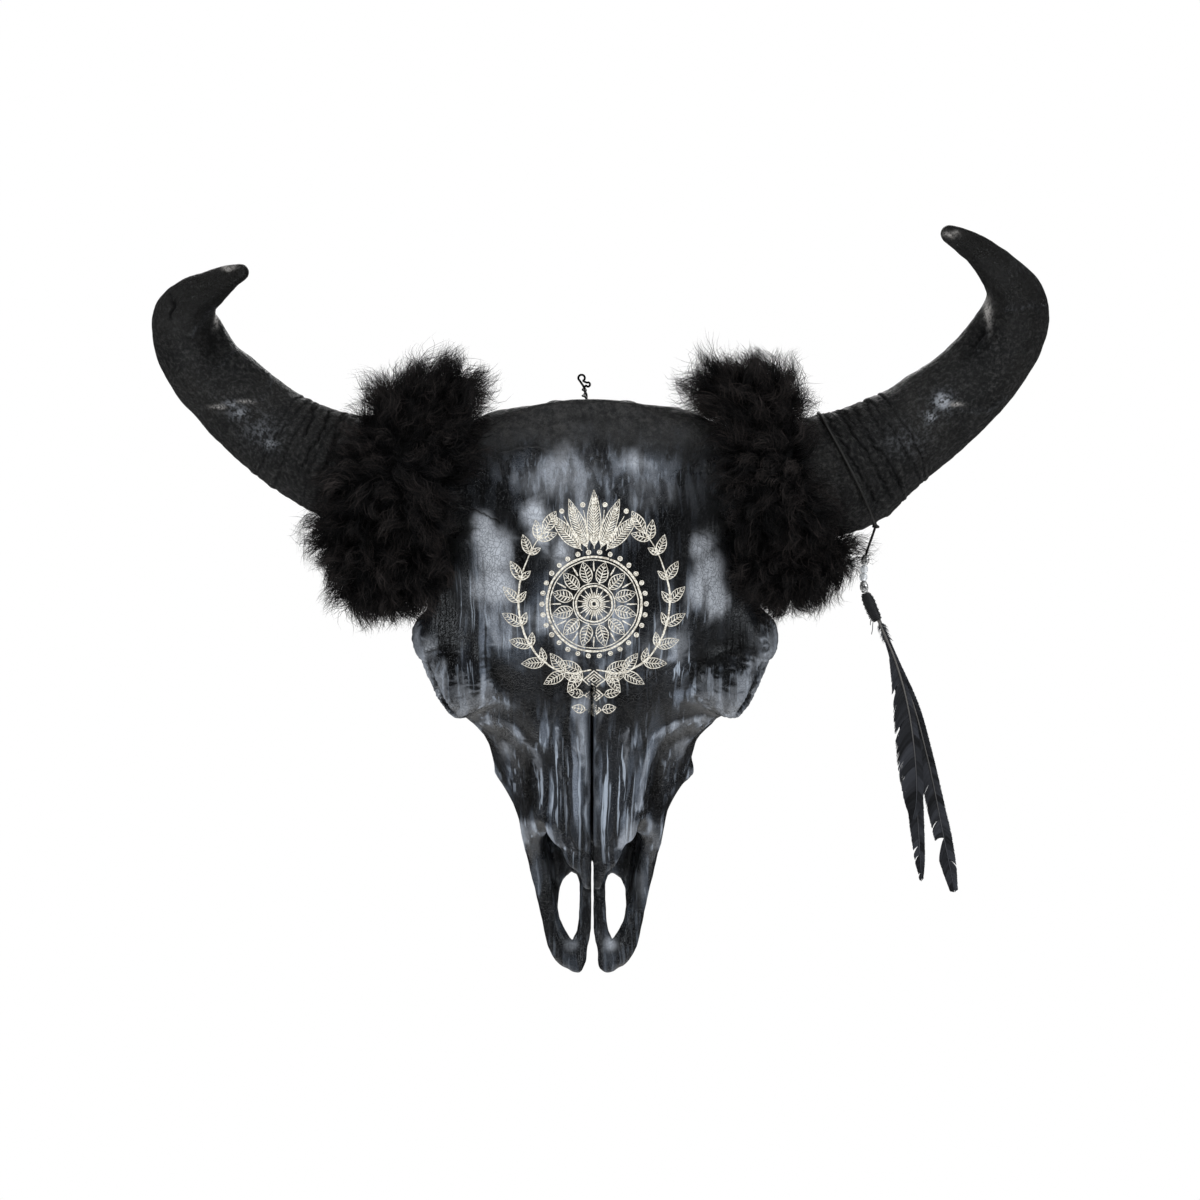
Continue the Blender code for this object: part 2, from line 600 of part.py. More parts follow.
def make_wire(material):
    """Two twisted strands that open into the hanging eye and a small side loop, with both ends in the bone."""
    start, end = stand(-6.2, 31, 450), stand(-5.0, 88, 436)
    along = (end - start).normalized()
    side = along.cross(Vector((0, 0, 1))).normalized()
    up = side.cross(along)

    def strand(phase, outward):
        steps = range(22) if outward else range(21, -1, -1)
        points = []
        for i in steps:
            t = phase + math.tau * i / 7
            points.append(start.lerp(end, i / 21) + (side * math.cos(t) + up * math.sin(t)) * 1.05 * MM)
        return points

    eye = []
    for i in range(12):
        t = math.radians(-125 - 27 * i)
        eye.append(stand(EYE[0] + EYE_RADIUS * math.cos(t), EYE[1] + 0.1 * i, EYE[2] + EYE_RADIUS * math.sin(t)))
    for i in range(7):
        t = math.radians(120 - 45 * i)
        eye.append(stand(-3.4 + 1.7 * math.cos(t), 32.2 + 0.3 * i, 453.8 + 1.7 * math.sin(t)))
    (left_out, left_in), (right_out, right_in) = wire_ends()
    line = [left_in, left_out, *strand(math.pi, False), *eye, *strand(0, True), right_out, right_in]
    shape = bmesh.new()
    tube(shape, line, WIRE_RADIUS * MM)
    return object_from("hanger_wire", shape, material)


def make_tie(horn, material):
    """A cord drawn round the right horn. Returns it with its lowest point."""
    shape = bmesh.new()
    shape.from_mesh(horn.data)
    tree = BVHTree.FromBMesh(shape)
    shape.free()
    top, bottom = stand(166, 183, 431), stand(206, 181, 353)
    centre, down = (top + bottom) / 2, (bottom - top).normalized()
    ways = [down * math.cos(t) + Vector((0, -1, 0)) * math.sin(t) for t in (math.tau * i / 56 for i in range(56))]
    reach = [(tree.ray_cast(centre + out * 0.09, -out)[0] - centre).length for out in ways]
    line = []
    for i in range(0, 56, 2):
        highest = max(reach[i - 1], reach[i], reach[(i + 1) % 56])
        line.append(centre + ways[i] * (highest + (TIE_RADIUS + GAP + 0.9) * MM))
    ring_shape = bmesh.new()
    tube(ring_shape, line, TIE_RADIUS * MM, closed=True)
    tie = object_from("horn_tie", ring_shape, material)
    fat = bmesh.new()
    tube(fat, line, (TIE_RADIUS + 1.2) * MM, 8, closed=True)
    return tie, min(line, key=lambda p: p.z), object_from("tie_clearance", fat)


def make_thong(start, material):
    line = [start] + [stand(x, HANG_DISTANCE, z) for x, z in THONG_LINE]
    points = smooth_line(line, 3)
    curve = bpy.data.curves.new("thong", "CURVE")
    curve.dimensions = "3D"
    curve.bevel_depth = THONG_RADIUS * MM
    curve.bevel_resolution = 2
    curve.use_fill_caps = True
    curve.render_resolution_u = 0
    spline = curve.splines.new("POLY")
    spline.points.add(len(points) - 1)
    for point, place in zip(spline.points, points):
        point.co = (*place, 1)
    curve.materials.append(material)
    thong = bpy.data.objects.new("thong", curve)
    bpy.context.scene.collection.objects.link(thong)
    return points


def at_height(points, z):
    """The point of a downward line at height z."""
    level = (z - EYE[2]) * MM
    for before, after in zip(points, points[1:]):
        if before.z >= level >= after.z:
            return before.lerp(after, (before.z - level) / (before.z - after.z))
    return points[-1]


def make_bead(name, top, bottom, radius, points, material):
    """A drum-shaped bead bored along the thong."""
    start, end = at_height(points, top), at_height(points, bottom)
    axis = (end - start).normalized()
    side = axis.cross(Vector((0, 1, 0))).normalized()
    front = axis.cross(side)
    length = (end - start).length / MM
    inset = 0.22 * length
    profile = [(BEAD_BORE, 0), (radius * 0.72, 0), (radius, inset), (radius, length - inset),
               (radius * 0.72, length), (BEAD_BORE, length)]
    shape = bmesh.new()
    rows = []
    for i in range(12):
        t = math.tau * i / 12
        out = side * math.cos(t) + front * math.sin(t)
        rows.append([shape.verts.new(start + out * (r * MM) + axis * (along * MM)) for r, along in profile])
    for i, row in enumerate(rows):
        after = rows[(i + 1) % len(rows)]
        for k in range(len(row)):
            j = (k + 1) % len(row)
            shape.faces.new((row[k], row[j], after[j], after[k]))
    bead = object_from(name, shape, material)
    bead.data.shade_smooth()


def make_wrap(material):
    """Thread bound tightly round the three quills."""
    line = smooth_line([stand(x, HANG_DISTANCE, z) for x, z in WRAP_LINE], 4)
    radii = [r * MM for r in (2.6, 3.6, 4.1, 4.3, 4.4, 4.4, 4.3, 4.2, 3.9)]
    shape = bmesh.new()
    sweep(shape, line, radii, 12, across=Vector((0, 1, 0)))
    wrap = object_from("quill_wrap", shape, material)
    wrap.data.shade_smooth()


def make_feather(name, distance, stations, material):
    """A thin vane with a raised quill. It tapers to its tip."""
    shape = bmesh.new()
    points = [Vector((x, 0, z)) for x, z, _, _ in stations]
    rings = []
    for i, (x, z, left, right) in enumerate(stations):
        along = (points[min(i + 1, len(points) - 1)] - points[max(i - 1, 0)]).normalized()
        side = Vector((-along.z, 0, along.x))
        bow = distance + 2.5 * math.sin(math.pi * i / (len(stations) - 1))
        edge, quill = 0.35, 0.9 - 0.05 * i
        profile = [(-left, 0, edge), (-0.25 * left, 0, 0.6), (0, 0, quill), (0.3 * right, 0, 0.6), (right, 0, edge)]
        front = [(offset, depth) for offset, _, depth in profile]
        back = [(offset, -depth) for offset, _, depth in reversed(profile)]
        ring_points = []
        for offset, depth in front + back:
            place = points[i] + side * offset
            ring_points.append(stand(place.x, bow + depth, place.z))
        rings.append(ring_points)
    loft(shape, rings)
    return object_from(name, shape, material)


def main():
    clear_scene()
    paint = finish_material("black_paint", (0.012, 0.013, 0.015), 0.38)
    horn_skin = finish_material("black_horn", (0.013, 0.012, 0.011), 0.4)
    wool_black = finish_material("black_wool", (0.01, 0.009, 0.009), 0.85)
    leather = finish_material("black_leather", (0.009, 0.008, 0.008), 0.6)
    thread = finish_material("black_thread", (0.008, 0.008, 0.009), 0.75)
    vane = finish_material("black_feather", (0.008, 0.009, 0.012), 0.42)
    silver = finish_material("bead_metal", (0.42, 0.42, 0.43), 0.3, 1.0)
    crystal = finish_material("bead_glass", (0.78, 0.8, 0.82), 0.08)
    wire = finish_material("black_wire", (0.015, 0.015, 0.016), 0.45, 1.0)
    skull = make_skull(paint)
    make_wire(wire)
    make_horn("horn_left", LEFT_HORN, horn_skin)
    horn_right = make_horn("horn_right", RIGHT_HORN, horn_skin)
    tie, low, clearance = make_tie(horn_right, leather)
    skin = skull_cutter(skull)
    make_wool("wool_left", LEFT_WOOL, LEFT_HORN, [skin], wool_black, 3)
    make_wool("wool_right", RIGHT_WOOL, RIGHT_HORN, [skin, clearance], wool_black, 5)
    bpy.data.objects.remove(skin)
    bpy.data.objects.remove(clearance)
    points = make_thong(low - Vector((0, 0, (TIE_RADIUS + GAP) * MM)), leather)
    for name, top, bottom, radius in BEADS:
        make_bead(name, top, bottom, radius, points, silver if radius > 3 else crystal)
    make_wrap(thread)
    for name, (distance, stations) in FEATHERS.items():
        make_feather(name, distance, stations, vane)


main()
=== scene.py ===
import math

import bmesh
import bpy
import numpy as np
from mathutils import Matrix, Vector, kdtree, noise
from mathutils.bvhtree import BVHTree


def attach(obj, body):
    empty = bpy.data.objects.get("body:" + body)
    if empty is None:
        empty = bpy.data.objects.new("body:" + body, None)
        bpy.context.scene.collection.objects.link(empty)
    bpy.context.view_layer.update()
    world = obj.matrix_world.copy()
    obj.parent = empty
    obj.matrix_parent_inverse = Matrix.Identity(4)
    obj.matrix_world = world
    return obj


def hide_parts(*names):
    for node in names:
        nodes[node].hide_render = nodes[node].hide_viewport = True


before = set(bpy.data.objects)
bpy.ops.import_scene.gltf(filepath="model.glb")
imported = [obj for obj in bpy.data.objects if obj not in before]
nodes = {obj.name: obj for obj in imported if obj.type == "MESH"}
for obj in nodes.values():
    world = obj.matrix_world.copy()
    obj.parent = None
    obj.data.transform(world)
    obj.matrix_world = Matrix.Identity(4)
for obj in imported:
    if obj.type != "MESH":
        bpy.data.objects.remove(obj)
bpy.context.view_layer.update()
mm = 0.001

# The same layout as the CAD: x to the right, distance from the wall, height over the muzzle tips
eye = (-8.2, 30.0, 458.8)
leanAngle = math.radians(8.0)

# Centreline of each horn as (x, distance, z, radius)
leftHorn = [
    (-128, 191, 380, 42.5), (-160, 187, 386, 41), (-191, 183, 395, 38.6), (-214, 179, 406, 35.6),
    (-234, 176, 418, 33.2), (-250, 174, 431, 32), (-266, 174, 446, 30.6), (-282, 175, 462, 28.6),
    (-293.5, 178, 482, 27.2), (-297, 186, 500.5, 24.2), (-289.5, 198, 513.5, 18), (-275.5, 213, 521.5, 12.8),
    (-262.5, 228, 528.3, 9), (-251.5, 240, 532, 6),
]
rightHorn = [
    (128, 191, 380, 44), (160, 187, 383, 44.8), (188, 183, 390.5, 44.6), (212, 179, 404.5, 39),
    (232.5, 175, 417, 35.3), (250, 173, 430, 33.6), (270.5, 173, 446, 31.2), (287, 175, 463, 29.6),
    (301.5, 180, 483.5, 28), (308.5, 188, 501, 25.8), (307.5, 199, 516.5, 21.5), (298.5, 211, 530, 16),
    (282, 224, 545.5, 11.8), (268.5, 234, 553.8, 9.2), (256, 244, 559.5, 6.4),
]

# What hangs from the tie round the right horn
hangDistance = 181.0
thongLine = [(205.7, 340.5), (201.6, 328.5), (200.0, 318), (199.4, 308), (200.6, 299.5)]
wrapLine = [(200.9, 299.1), (204.6, 290.0), (209.6, 279.4)]
beadSpans = {
    "bead_top": (327.4, 320.0, 3.1), "bead_upper": (319.6, 314.1, 2.9),
    "bead_lower": (313.7, 308.2, 2.9), "bead_bottom": (307.8, 299.6, 3.1),
}
feathers = {
    "feather_left": (186.5, [
        (210.6, 278.0, 1.2, 1.2), (217, 264, 1.4, 1.4), (222.6, 250, 6, 2), (229.3, 228, 11, 3.5),
        (233.8, 206, 13, 4.5), (237.2, 180, 13.5, 5), (238.6, 156, 11, 5), (238, 143, 7.5, 4), (236, 133.5, 2, 1.6),
    ]),
    "feather_middle": (182.0, [
        (211.4, 278.4, 1.2, 1.2), (220.7, 250, 1.8, 3), (228.9, 213, 4.6, 6), (234.9, 176, 6.4, 6.5),
        (238.6, 147, 7, 5.2), (240.4, 124, 6, 4.4), (241.8, 103, 4, 3.4), (243, 88.4, 1.5, 1.2),
    ]),
    "feather_right": (177.5, [
        (212.2, 278.4, 1.2, 1.2), (223.4, 250, 4, 2.4), (236.5, 217, 8, 4.2), (245.8, 183, 9, 4.6),
        (252, 156, 8.6, 5), (258, 126, 7.4, 6), (263.5, 100, 6.3, 5), (267.5, 79.5, 3.2, 2.6),
    ]),
}


def stand(x, distance, z):
    return Vector((x - eye[0], eye[1] - distance, z - eye[2])) * mm


def lean(x, a, h):
    back = a * math.sin(leanAngle) + h * math.cos(leanAngle)
    return stand(x, back, a * math.cos(leanAngle) - h * math.sin(leanAngle))


def smoothLine(points, steps):
    points = [Vector(p) for p in points]
    ends = [2 * points[0] - points[1], *points, 2 * points[-1] - points[-2]]
    line = []
    for i in range(len(points) - 1):
        p0, p1, p2, p3 = ends[i : i + 4]
        for step in range(steps):
            t = step / steps
            bend = (2 * p0 - 5 * p1 + 4 * p2 - p3) * t * t + (3 * p1 - p0 - 3 * p2 + p3) * t**3
            line.append(0.5 * (2 * p1 + (p2 - p0) * t + bend))
    return [*line, points[-1]]


def flatLine(points, steps):
    return smoothLine([(x, y, 0) for x, y in points], steps)


def limited(value, most=1.0):
    return max(0.0, min(most, value))


def bell(distance):
    return math.exp(-(distance**2))


# The camera stands where the photograph was taken from: 3 m off, looking down 2.5 degrees
viewTilt = math.radians(2.5)
viewDistance = 3.0
viewLens, viewSensor, viewWidth = 120.0, 36.0, 1200
viewMiddle, viewScale = viewWidth / 2, viewWidth * viewLens / viewSensor
viewTarget = stand(6.0, 120.0, 291.5)
viewBack = Vector((0, -math.cos(viewTilt), math.sin(viewTilt)))
viewUp = Vector((0, math.sin(viewTilt), math.cos(viewTilt)))
cameraPlace = viewTarget + viewBack * viewDistance


def makeCamera():
    data = bpy.data.cameras.new("camera")
    camera = bpy.data.objects.new("camera", data)
    bpy.context.scene.collection.objects.link(camera)
    camera.location = cameraPlace
    camera.rotation_euler = (-viewBack).to_track_quat("-Z", "Y").to_euler()
    data.sensor_fit = "HORIZONTAL"
    data.sensor_width = viewSensor
    data.lens = viewLens
    data.clip_end = 50
    bpy.context.scene.camera = camera


def frontPoint(co):
    # where a point shows in the front view, in steps of 1/1200 of the view's width
    offset = co - cameraPlace
    depth = -offset.dot(viewBack)
    return viewMiddle + offset.x / depth * viewScale, viewMiddle - offset.dot(viewUp) / depth * viewScale


def frontRay(px, py):
    way = Vector(((px - viewMiddle) / viewScale, 0, 0)) + viewUp * ((viewMiddle - py) / viewScale) - viewBack
    return cameraPlace, way.normalized()


makeCamera()


# Mesh helpers
def addObject(name, data, smooth=False):
    obj = bpy.data.objects.new(name, data)
    bpy.context.scene.collection.objects.link(obj)
    if smooth:
        data.shade_smooth()
    return obj


def newObject(name, vertices, faces, smooth=True):
    mesh = bpy.data.meshes.new(name)
    mesh.from_pydata([tuple(v) for v in vertices], [], faces)
    mesh.update()
    return addObject(name, mesh, smooth)


def fromBmesh(name, shape):
    mesh = bpy.data.meshes.new(name)
    shape.to_mesh(mesh)
    shape.free()
    return addObject(name, mesh, smooth=True)


def toBmesh(obj):
    shape = bmesh.new()
    shape.from_mesh(obj.data)
    return shape


def surfaceTree(obj):
    shape = toBmesh(obj)
    tree = BVHTree.FromBMesh(shape)
    shape.free()
    return tree


def turnOutward(obj):
    shape = toBmesh(obj)
    bmesh.ops.recalc_face_normals(shape, faces=shape.faces)
    shape.to_mesh(obj.data)
    shape.free()


def readTriples(items, key, kind=float):
    values = np.empty(len(items) * 3, dtype=kind)
    items.foreach_get(key, values)
    return values.reshape(-1, 3)


def applyModifiers(obj):
    graph = bpy.context.evaluated_depsgraph_get()
    mesh = bpy.data.meshes.new_from_object(obj.evaluated_get(graph))
    obj.modifiers.clear()
    obj.data = mesh
    return obj


def mergedCopy(node, name):
    shape = toBmesh(nodes[node])
    bmesh.ops.remove_doubles(shape, verts=shape.verts, dist=1e-6)
    bmesh.ops.recalc_face_normals(shape, faces=shape.faces)
    obj = fromBmesh(name, shape)
    obj.data.materials.clear()
    return obj


def addFloats(obj, marks):
    for name, values in marks.items():
        layer = obj.data.attributes.new(name, "FLOAT", "POINT")
        layer.data.foreach_set("value", np.asarray(values, dtype=np.float32))


def dress(obj, material, node=None):
    obj.data.materials.append(material)
    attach(obj, "root")
    if node:
        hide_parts(node)
    return obj


def lineFrames(line, closed=False):
    # a side and an up vector at each point, carried along without twist
    count, frames, side = len(line), [], None
    for i, point in enumerate(line):
        before = line[(i - 1) % count] if closed or i else point
        after = line[(i + 1) % count] if closed or i < count - 1 else point
        along = (after - before).normalized()
        side = along.orthogonal() if side is None else side - along * side.dot(along)
        side.normalize()
        frames.append((side.copy(), along.cross(side), along))
    return frames


def loftInto(faces, start, rows, sides, shift=None):
    # quads between rings of vertices; a shift closes them to a loop, and without one the ends are capped
    for i in range(rows - 1 if shift is None else rows):
        a, b = start + i * sides, start + (i + 1) % rows * sides
        turn = shift if i == rows - 1 else 0
        for k in range(sides):
            j = (k + 1) % sides
            faces.append((a + k, a + j, b + (j + turn) % sides, b + (k + turn) % sides))
    if shift is None:
        faces.append(tuple(range(start + sides - 1, start - 1, -1)))
        faces.append(tuple(range(start + (rows - 1) * sides, start + rows * sides)))


def tubeInto(vertices, faces, line, radii, sides=10, closed=False):
    start, rows = len(vertices), len(line)
    for (side, up, _), point, radius in zip(lineFrames(line, closed), line, radii):
        for k in range(sides):
            t = math.tau * k / sides
            vertices.append(point + (side * math.cos(t) + up * math.sin(t)) * radius)
    shift = None
    if closed:
        end = vertices[start + (rows - 1) * sides]
        shift = min(range(sides), key=lambda s: (end - vertices[start + s]).length)
    loftInto(faces, start, rows, sides, shift)


# Material helpers
def feed(tree, socket, value):
    if isinstance(value, bpy.types.NodeSocket):
        tree.links.new(value, socket)
    else:
        socket.default_value = value


def addNode(tree, kind, inputs=None, **settings):
    made = tree.nodes.new(kind)
    for key, value in settings.items():
        setattr(made, key, value)
    for key, value in (inputs or {}).items():
        feed(tree, made.inputs[key], value)
    return made


def maths(tree, operation, *terms, clamp=False):
    # one node after another takes in the terms, and the last node may clamp
    result = terms[0]
    for i, term in enumerate(terms[1:], 2):
        made = addNode(tree, "ShaderNodeMath", {0: result, 1: term}, operation=operation)
        made.use_clamp = clamp and i == len(terms)
        result = made.outputs[0]
    return result


def times(tree, *factors, clamp=False):
    return maths(tree, "MULTIPLY", *factors, clamp=clamp)


def plus(tree, *terms, clamp=False):
    return maths(tree, "ADD", *terms, clamp=clamp)


def minus(tree, a, b):
    return maths(tree, "SUBTRACT", a, b)


def vectorMaths(tree, operation, a, b):
    return addNode(tree, "ShaderNodeVectorMath", {0: a, 1: b}, operation=operation).outputs[0]


def ramp(tree, value, low, high, a=0.0, b=1.0):
    inputs = {"Value": value, "From Min": low, "From Max": high, "To Min": a, "To Max": b}
    return addNode(tree, "ShaderNodeMapRange", inputs, interpolation_type="SMOOTHSTEP").outputs["Result"]


def mixColour(tree, factor, a, b):
    return addNode(tree, "ShaderNodeMix", {0: factor, 6: a, 7: b}, data_type="RGBA").outputs[2]


def coats(tree, colour, *layers):
    for share, tint in layers:
        colour = mixColour(tree, share, colour, tint)
    return colour


def attribute(tree, name):
    return addNode(tree, "ShaderNodeAttribute", attribute_name=name).outputs["Fac"]


def placeOf(tree, kind="Object"):
    return addNode(tree, "ShaderNodeTexCoord").outputs[kind]


def noiseOf(tree, vector, scale, detail, roughness=0.5, output="Fac"):
    inputs = {"Vector": vector, "Scale": scale, "Detail": detail, "Roughness": roughness}
    return addNode(tree, "ShaderNodeTexNoise", inputs).outputs[output]


def bumpOf(tree, height, strength, distance):
    return addNode(tree, "ShaderNodeBump", {"Height": height, "Strength": strength, "Distance": distance}).outputs[0]


def makeGroup(name, labels, build):
    # a group that makes the labelled values out of a place
    tree = bpy.data.node_groups.new(name, "ShaderNodeTree")
    tree.interface.new_socket("Vector", in_out="INPUT", socket_type="NodeSocketVector")
    for label in labels:
        tree.interface.new_socket(label, in_out="OUTPUT", socket_type="NodeSocketFloat")
    start, end = tree.nodes.new("NodeGroupInput"), tree.nodes.new("NodeGroupOutput")
    for label, socket in build(tree, start.outputs["Vector"]).items():
        tree.links.new(socket, end.inputs[label])
    return tree


def useGroup(tree, group, place):
    made = tree.nodes.new("ShaderNodeGroup")
    made.node_tree = group
    tree.links.new(place, made.inputs["Vector"])
    return made.outputs


def shade(tree, shader, **values):
    for key, value in values.items():
        feed(tree, shader.inputs[key.replace("_", " ")], value)


def startMaterial(name, **values):
    material = bpy.data.materials.new(name)
    material.use_nodes = True
    tree = material.node_tree
    shader = tree.nodes["Principled BSDF"]
    shade(tree, shader, **values)
    return material, tree, shader


def bentPlace(tree, place, scale, detail, push):
    shift = vectorMaths(tree, "MULTIPLY", noiseOf(tree, place, scale, detail, output="Color"), push)
    return vectorMaths(tree, "ADD", place, shift)


def dryBrushGroup():
    # upright strokes that a nearly dry brush left, broad ones and thin bright ones
    def build(tree, place):
        moved = bentPlace(tree, place, 26.0, 2.0, (0.006, 0.006, 0.0))
        made = {}
        for label, stretch, detail, low, high in (
                ("Broad", (125, 90, 6.5), 1.8, 0.48, 0.56), ("Thin", (430, 260, 9), 2.0, 0.56, 0.66)):
            streaks = noiseOf(tree, vectorMaths(tree, "MULTIPLY", moved, stretch), 1.0, detail, 0.45)
            made[label] = ramp(tree, streaks, low, high)
            made[label + " Height"] = streaks
        return made
    return makeGroup("dryBrush", ("Broad", "Thin", "Broad Height", "Thin Height"), build)


def crackleGroup():
    # dried paint that split into long cells, and the grit in it
    def build(tree, place):
        moved = bentPlace(tree, place, 90.0, 4.0, (0.012, 0.012, 0.012))
        wide = vectorMaths(tree, "MULTIPLY", moved, (380, 380, 230))
        cells = addNode(tree, "ShaderNodeTexVoronoi", {"Vector": wide, "Scale": 1.0}, feature="DISTANCE_TO_EDGE")
        return {"Cracks": ramp(tree, cells.outputs["Distance"], 0.0, 0.09, 1.0, 0.0),
                "Grit": noiseOf(tree, place, 1500.0, 3.0, 0.7)}
    return makeGroup("crackle", ("Cracks", "Grit"), build)


dryBrush, crackle = dryBrushGroup(), crackleGroup()


def paintMaterial():
    material, tree, shader = startMaterial("paintedBone", Specular_IOR_Level=0.48)
    place = placeOf(tree)
    rubAndHighlight, paintedHighlight, dull, crackAndShade, speck, low = (
        attribute(tree, name) for name in ("rubAndHighlight", "paintedHighlight", "dull", "crackAndShade", "speck", "low"))
    along = addNode(tree, "ShaderNodeMapping", {"Vector": place, "Rotation": (math.radians(-24), 0, 0)}).outputs[0]
    brush, split = useGroup(tree, dryBrush, along), useGroup(tree, crackle, place)
    thin, streaks, cracks, grit = brush["Thin"], brush["Broad Height"], split["Cracks"], split["Grit"]
    cloud = noiseOf(tree, place, 30.0, 4.0)
    mottle = noiseOf(tree, place, 210.0, 6.0, 0.75)
    fine = noiseOf(tree, place, 520.0, 5.0, 0.6)
    black = mixColour(tree, ramp(tree, cloud, 0.35, 0.7), (0.0008, 0.0009, 0.0012, 1), (0.0026, 0.003, 0.0038, 1))
    # blue grey strokes
    broad = times(tree, brush["Broad"], ramp(tree, grit, 0.4, 0.56, 0.3, 1.0), times(tree, rubAndHighlight, 1.2, clamp=True),
                  clamp=True)
    stroke = mixColour(tree, ramp(tree, rubAndHighlight, 0.4, 0.95), (0.095, 0.118, 0.155, 1), (0.165, 0.195, 0.245, 1))
    bright = times(tree, thin, maths(tree, "POWER", times(tree, rubAndHighlight, 1.1), 1.4), clamp=True)
    # painted highlights: pale satin patches, split by fine cracks
    highlightPatch = plus(tree, paintedHighlight, times(tree, minus(tree, cloud, 0.5), 0.75), times(tree, minus(tree, streaks, 0.5), 0.55))
    highlightPatch = times(tree, ramp(tree, highlightPatch, 0.1, 1.0), ramp(tree, paintedHighlight, 0.02, 0.35),
                  ramp(tree, streaks, 0.34, 0.6, 0.84, 1.0), ramp(tree, grit, 0.36, 0.5, 0.8, 1.0),
                  minus(tree, 1.0, times(tree, cracks, 0.3)), clamp=True)
    crust = mixColour(tree, ramp(tree, mottle, 0.4, 0.66), (0.0022, 0.002, 0.0018, 1), (0.024, 0.0225, 0.021, 1))
    colour = coats(
        tree, black, (times(tree, thin, ramp(tree, cloud, 0.4, 0.62)), (0.0075, 0.009, 0.012, 1)),
        (times(tree, rubAndHighlight, 0.8, clamp=True), (0.017, 0.0205, 0.027, 1)), (broad, stroke),
        # the pale satin coat is the painted highlight
        (bright, (0.3, 0.345, 0.41, 1)), (highlightPatch, (0.44, 0.47, 0.52, 1)), (times(tree, dull, 0.85), crust),
        (times(tree, ramp(tree, grit, 0.6, 0.68), speck), (0.16, 0.165, 0.175, 1)),
        # dark seams and cracks, and painted shade that darkens the hollows
        (maths(tree, "MAXIMUM", times(tree, crackAndShade, 0.9), low), (0.001, 0.001, 0.001, 1)))
    rough = plus(tree, ramp(tree, cloud, 0.3, 0.75, 0.24, 0.34), times(tree, dull, 0.24), times(tree, broad, 0.15),
                 times(tree, dull, ramp(tree, mottle, 0.4, 0.64, 0.16, -0.16)), times(tree, crackAndShade, 0.5), clamp=True)
    height = plus(tree, times(tree, streaks, 1.3), times(tree, brush["Thin Height"], 0.7),
                  times(tree, fine, plus(tree, times(tree, dull, 1.6), 0.5)),
                  times(tree, mottle, times(tree, dull, 2.6)))
    height = minus(tree, height, times(tree, cracks, plus(tree, paintedHighlight, 0.15)))
    shade(tree, shader, Base_Color=colour, Roughness=rough, Normal=bumpOf(tree, height, 0.8, 0.0006))
    return material


def hornMaterial():
    material, tree, shader = startMaterial("hornSheath", Specular_IOR_Level=0.42)
    solid = placeOf(tree)
    rubAndHighlight, peelAndGlint, tip, gone = (attribute(tree, name) for name in ("rubAndHighlight", "peelAndGlint", "tip", "crackAndShade"))
    fibre = noiseOf(tree, vectorMaths(tree, "MULTIPLY", placeOf(tree, "UV"), (14.0, 170.0, 1.0)), 1.0, 6.0, 0.6)
    cloud, grit = noiseOf(tree, solid, 30.0, 5.0), noiseOf(tree, solid, 800.0, 5.0)
    chips = noiseOf(tree, solid, 380.0, 6.0, 0.72)
    base = mixColour(tree, ramp(tree, cloud, 0.38, 0.66), (0.0017, 0.0017, 0.0017, 1), (0.0085, 0.0075, 0.006, 1))
    furrow = times(tree, ramp(tree, fibre, 0.4, 0.5, 1.0, 0.0), ramp(tree, cloud, 0.4, 0.6, 0.35, 0.9))
    flecks = times(tree, ramp(tree, grit, 0.56, 0.68), ramp(tree, cloud, 0.4, 0.6, 0.2, 1.0), 0.6)
    flake = plus(tree, times(tree, fibre, 0.5), chips, times(tree, rubAndHighlight, 0.12))
    # grey scuffs and flakes, and painted highlights on the front of each horn; pale flecks of peeled layers and
    # painted glints
    scuffAndHighlight = mixColour(tree, ramp(tree, rubAndHighlight, 0.4, 1.0), (0.075, 0.082, 0.095, 1), (0.3, 0.32, 0.35, 1))
    shredAndGlint = times(tree, peelAndGlint, ramp(tree, plus(tree, grit, fibre), 0.84, 1.06))
    colour = coats(
        tree, base, (ramp(tree, chips, 0.48, 0.64, 0.0, 0.9), (0.036, 0.035, 0.033, 1)),
        (furrow, (0.0008, 0.0008, 0.0008, 1)), (tip, (0.0075, 0.007, 0.006, 1)), (flecks, (0.035, 0.037, 0.04, 1)),
        (times(tree, rubAndHighlight, ramp(tree, flake, 0.74, 0.9), clamp=True), scuffAndHighlight), (shredAndGlint, (0.42, 0.4, 0.38, 1)),
        # cracks, with painted shade in the deep hollows and the ring grooves
        (gone, (0.0006, 0.0006, 0.0006, 1)))
    rough = minus(tree, ramp(tree, cloud, 0.3, 0.7, 0.36, 0.54), times(tree, tip, 0.12))
    rough = plus(tree, rough, ramp(tree, chips, 0.36, 0.62, 0.2, -0.1), times(tree, gone, 0.6), clamp=True)
    height = minus(tree, plus(tree, times(tree, fibre, 0.8), times(tree, chips, 1.5)), times(tree, gone, 0.8))
    shade(tree, shader, Base_Color=colour, Roughness=rough, Normal=bumpOf(tree, height, 1.0, 0.0017))
    return material


def woolMaterial():
    material, tree, shader = startMaterial("blackWool", Roughness=0.7, Specular_IOR_Level=0.16)
    share = ramp(tree, attribute(tree, "tone"), 0.0, 1.0)
    shade(tree, shader, Base_Color=mixColour(tree, share, (0.0022, 0.0021, 0.0024, 1), (0.05, 0.041, 0.038, 1)))
    return material


def featherMaterial():
    material, tree, shader = startMaterial("featherVane", Roughness=0.42)
    tone = attribute(tree, "tone")
    cloud = noiseOf(tree, placeOf(tree), 60.0, 3.0)
    colour = mixColour(tree, cloud, (0.0014, 0.0016, 0.0022, 1), (0.005, 0.0056, 0.0075, 1))
    colour = coats(tree, colour, (ramp(tree, tone, 0.0, 1.0), (0.034, 0.037, 0.047, 1)),
                   (ramp(tree, tone, 1.2, 1.6), (0.085, 0.08, 0.075, 1)))
    shade(tree, shader, Base_Color=colour)
    return material


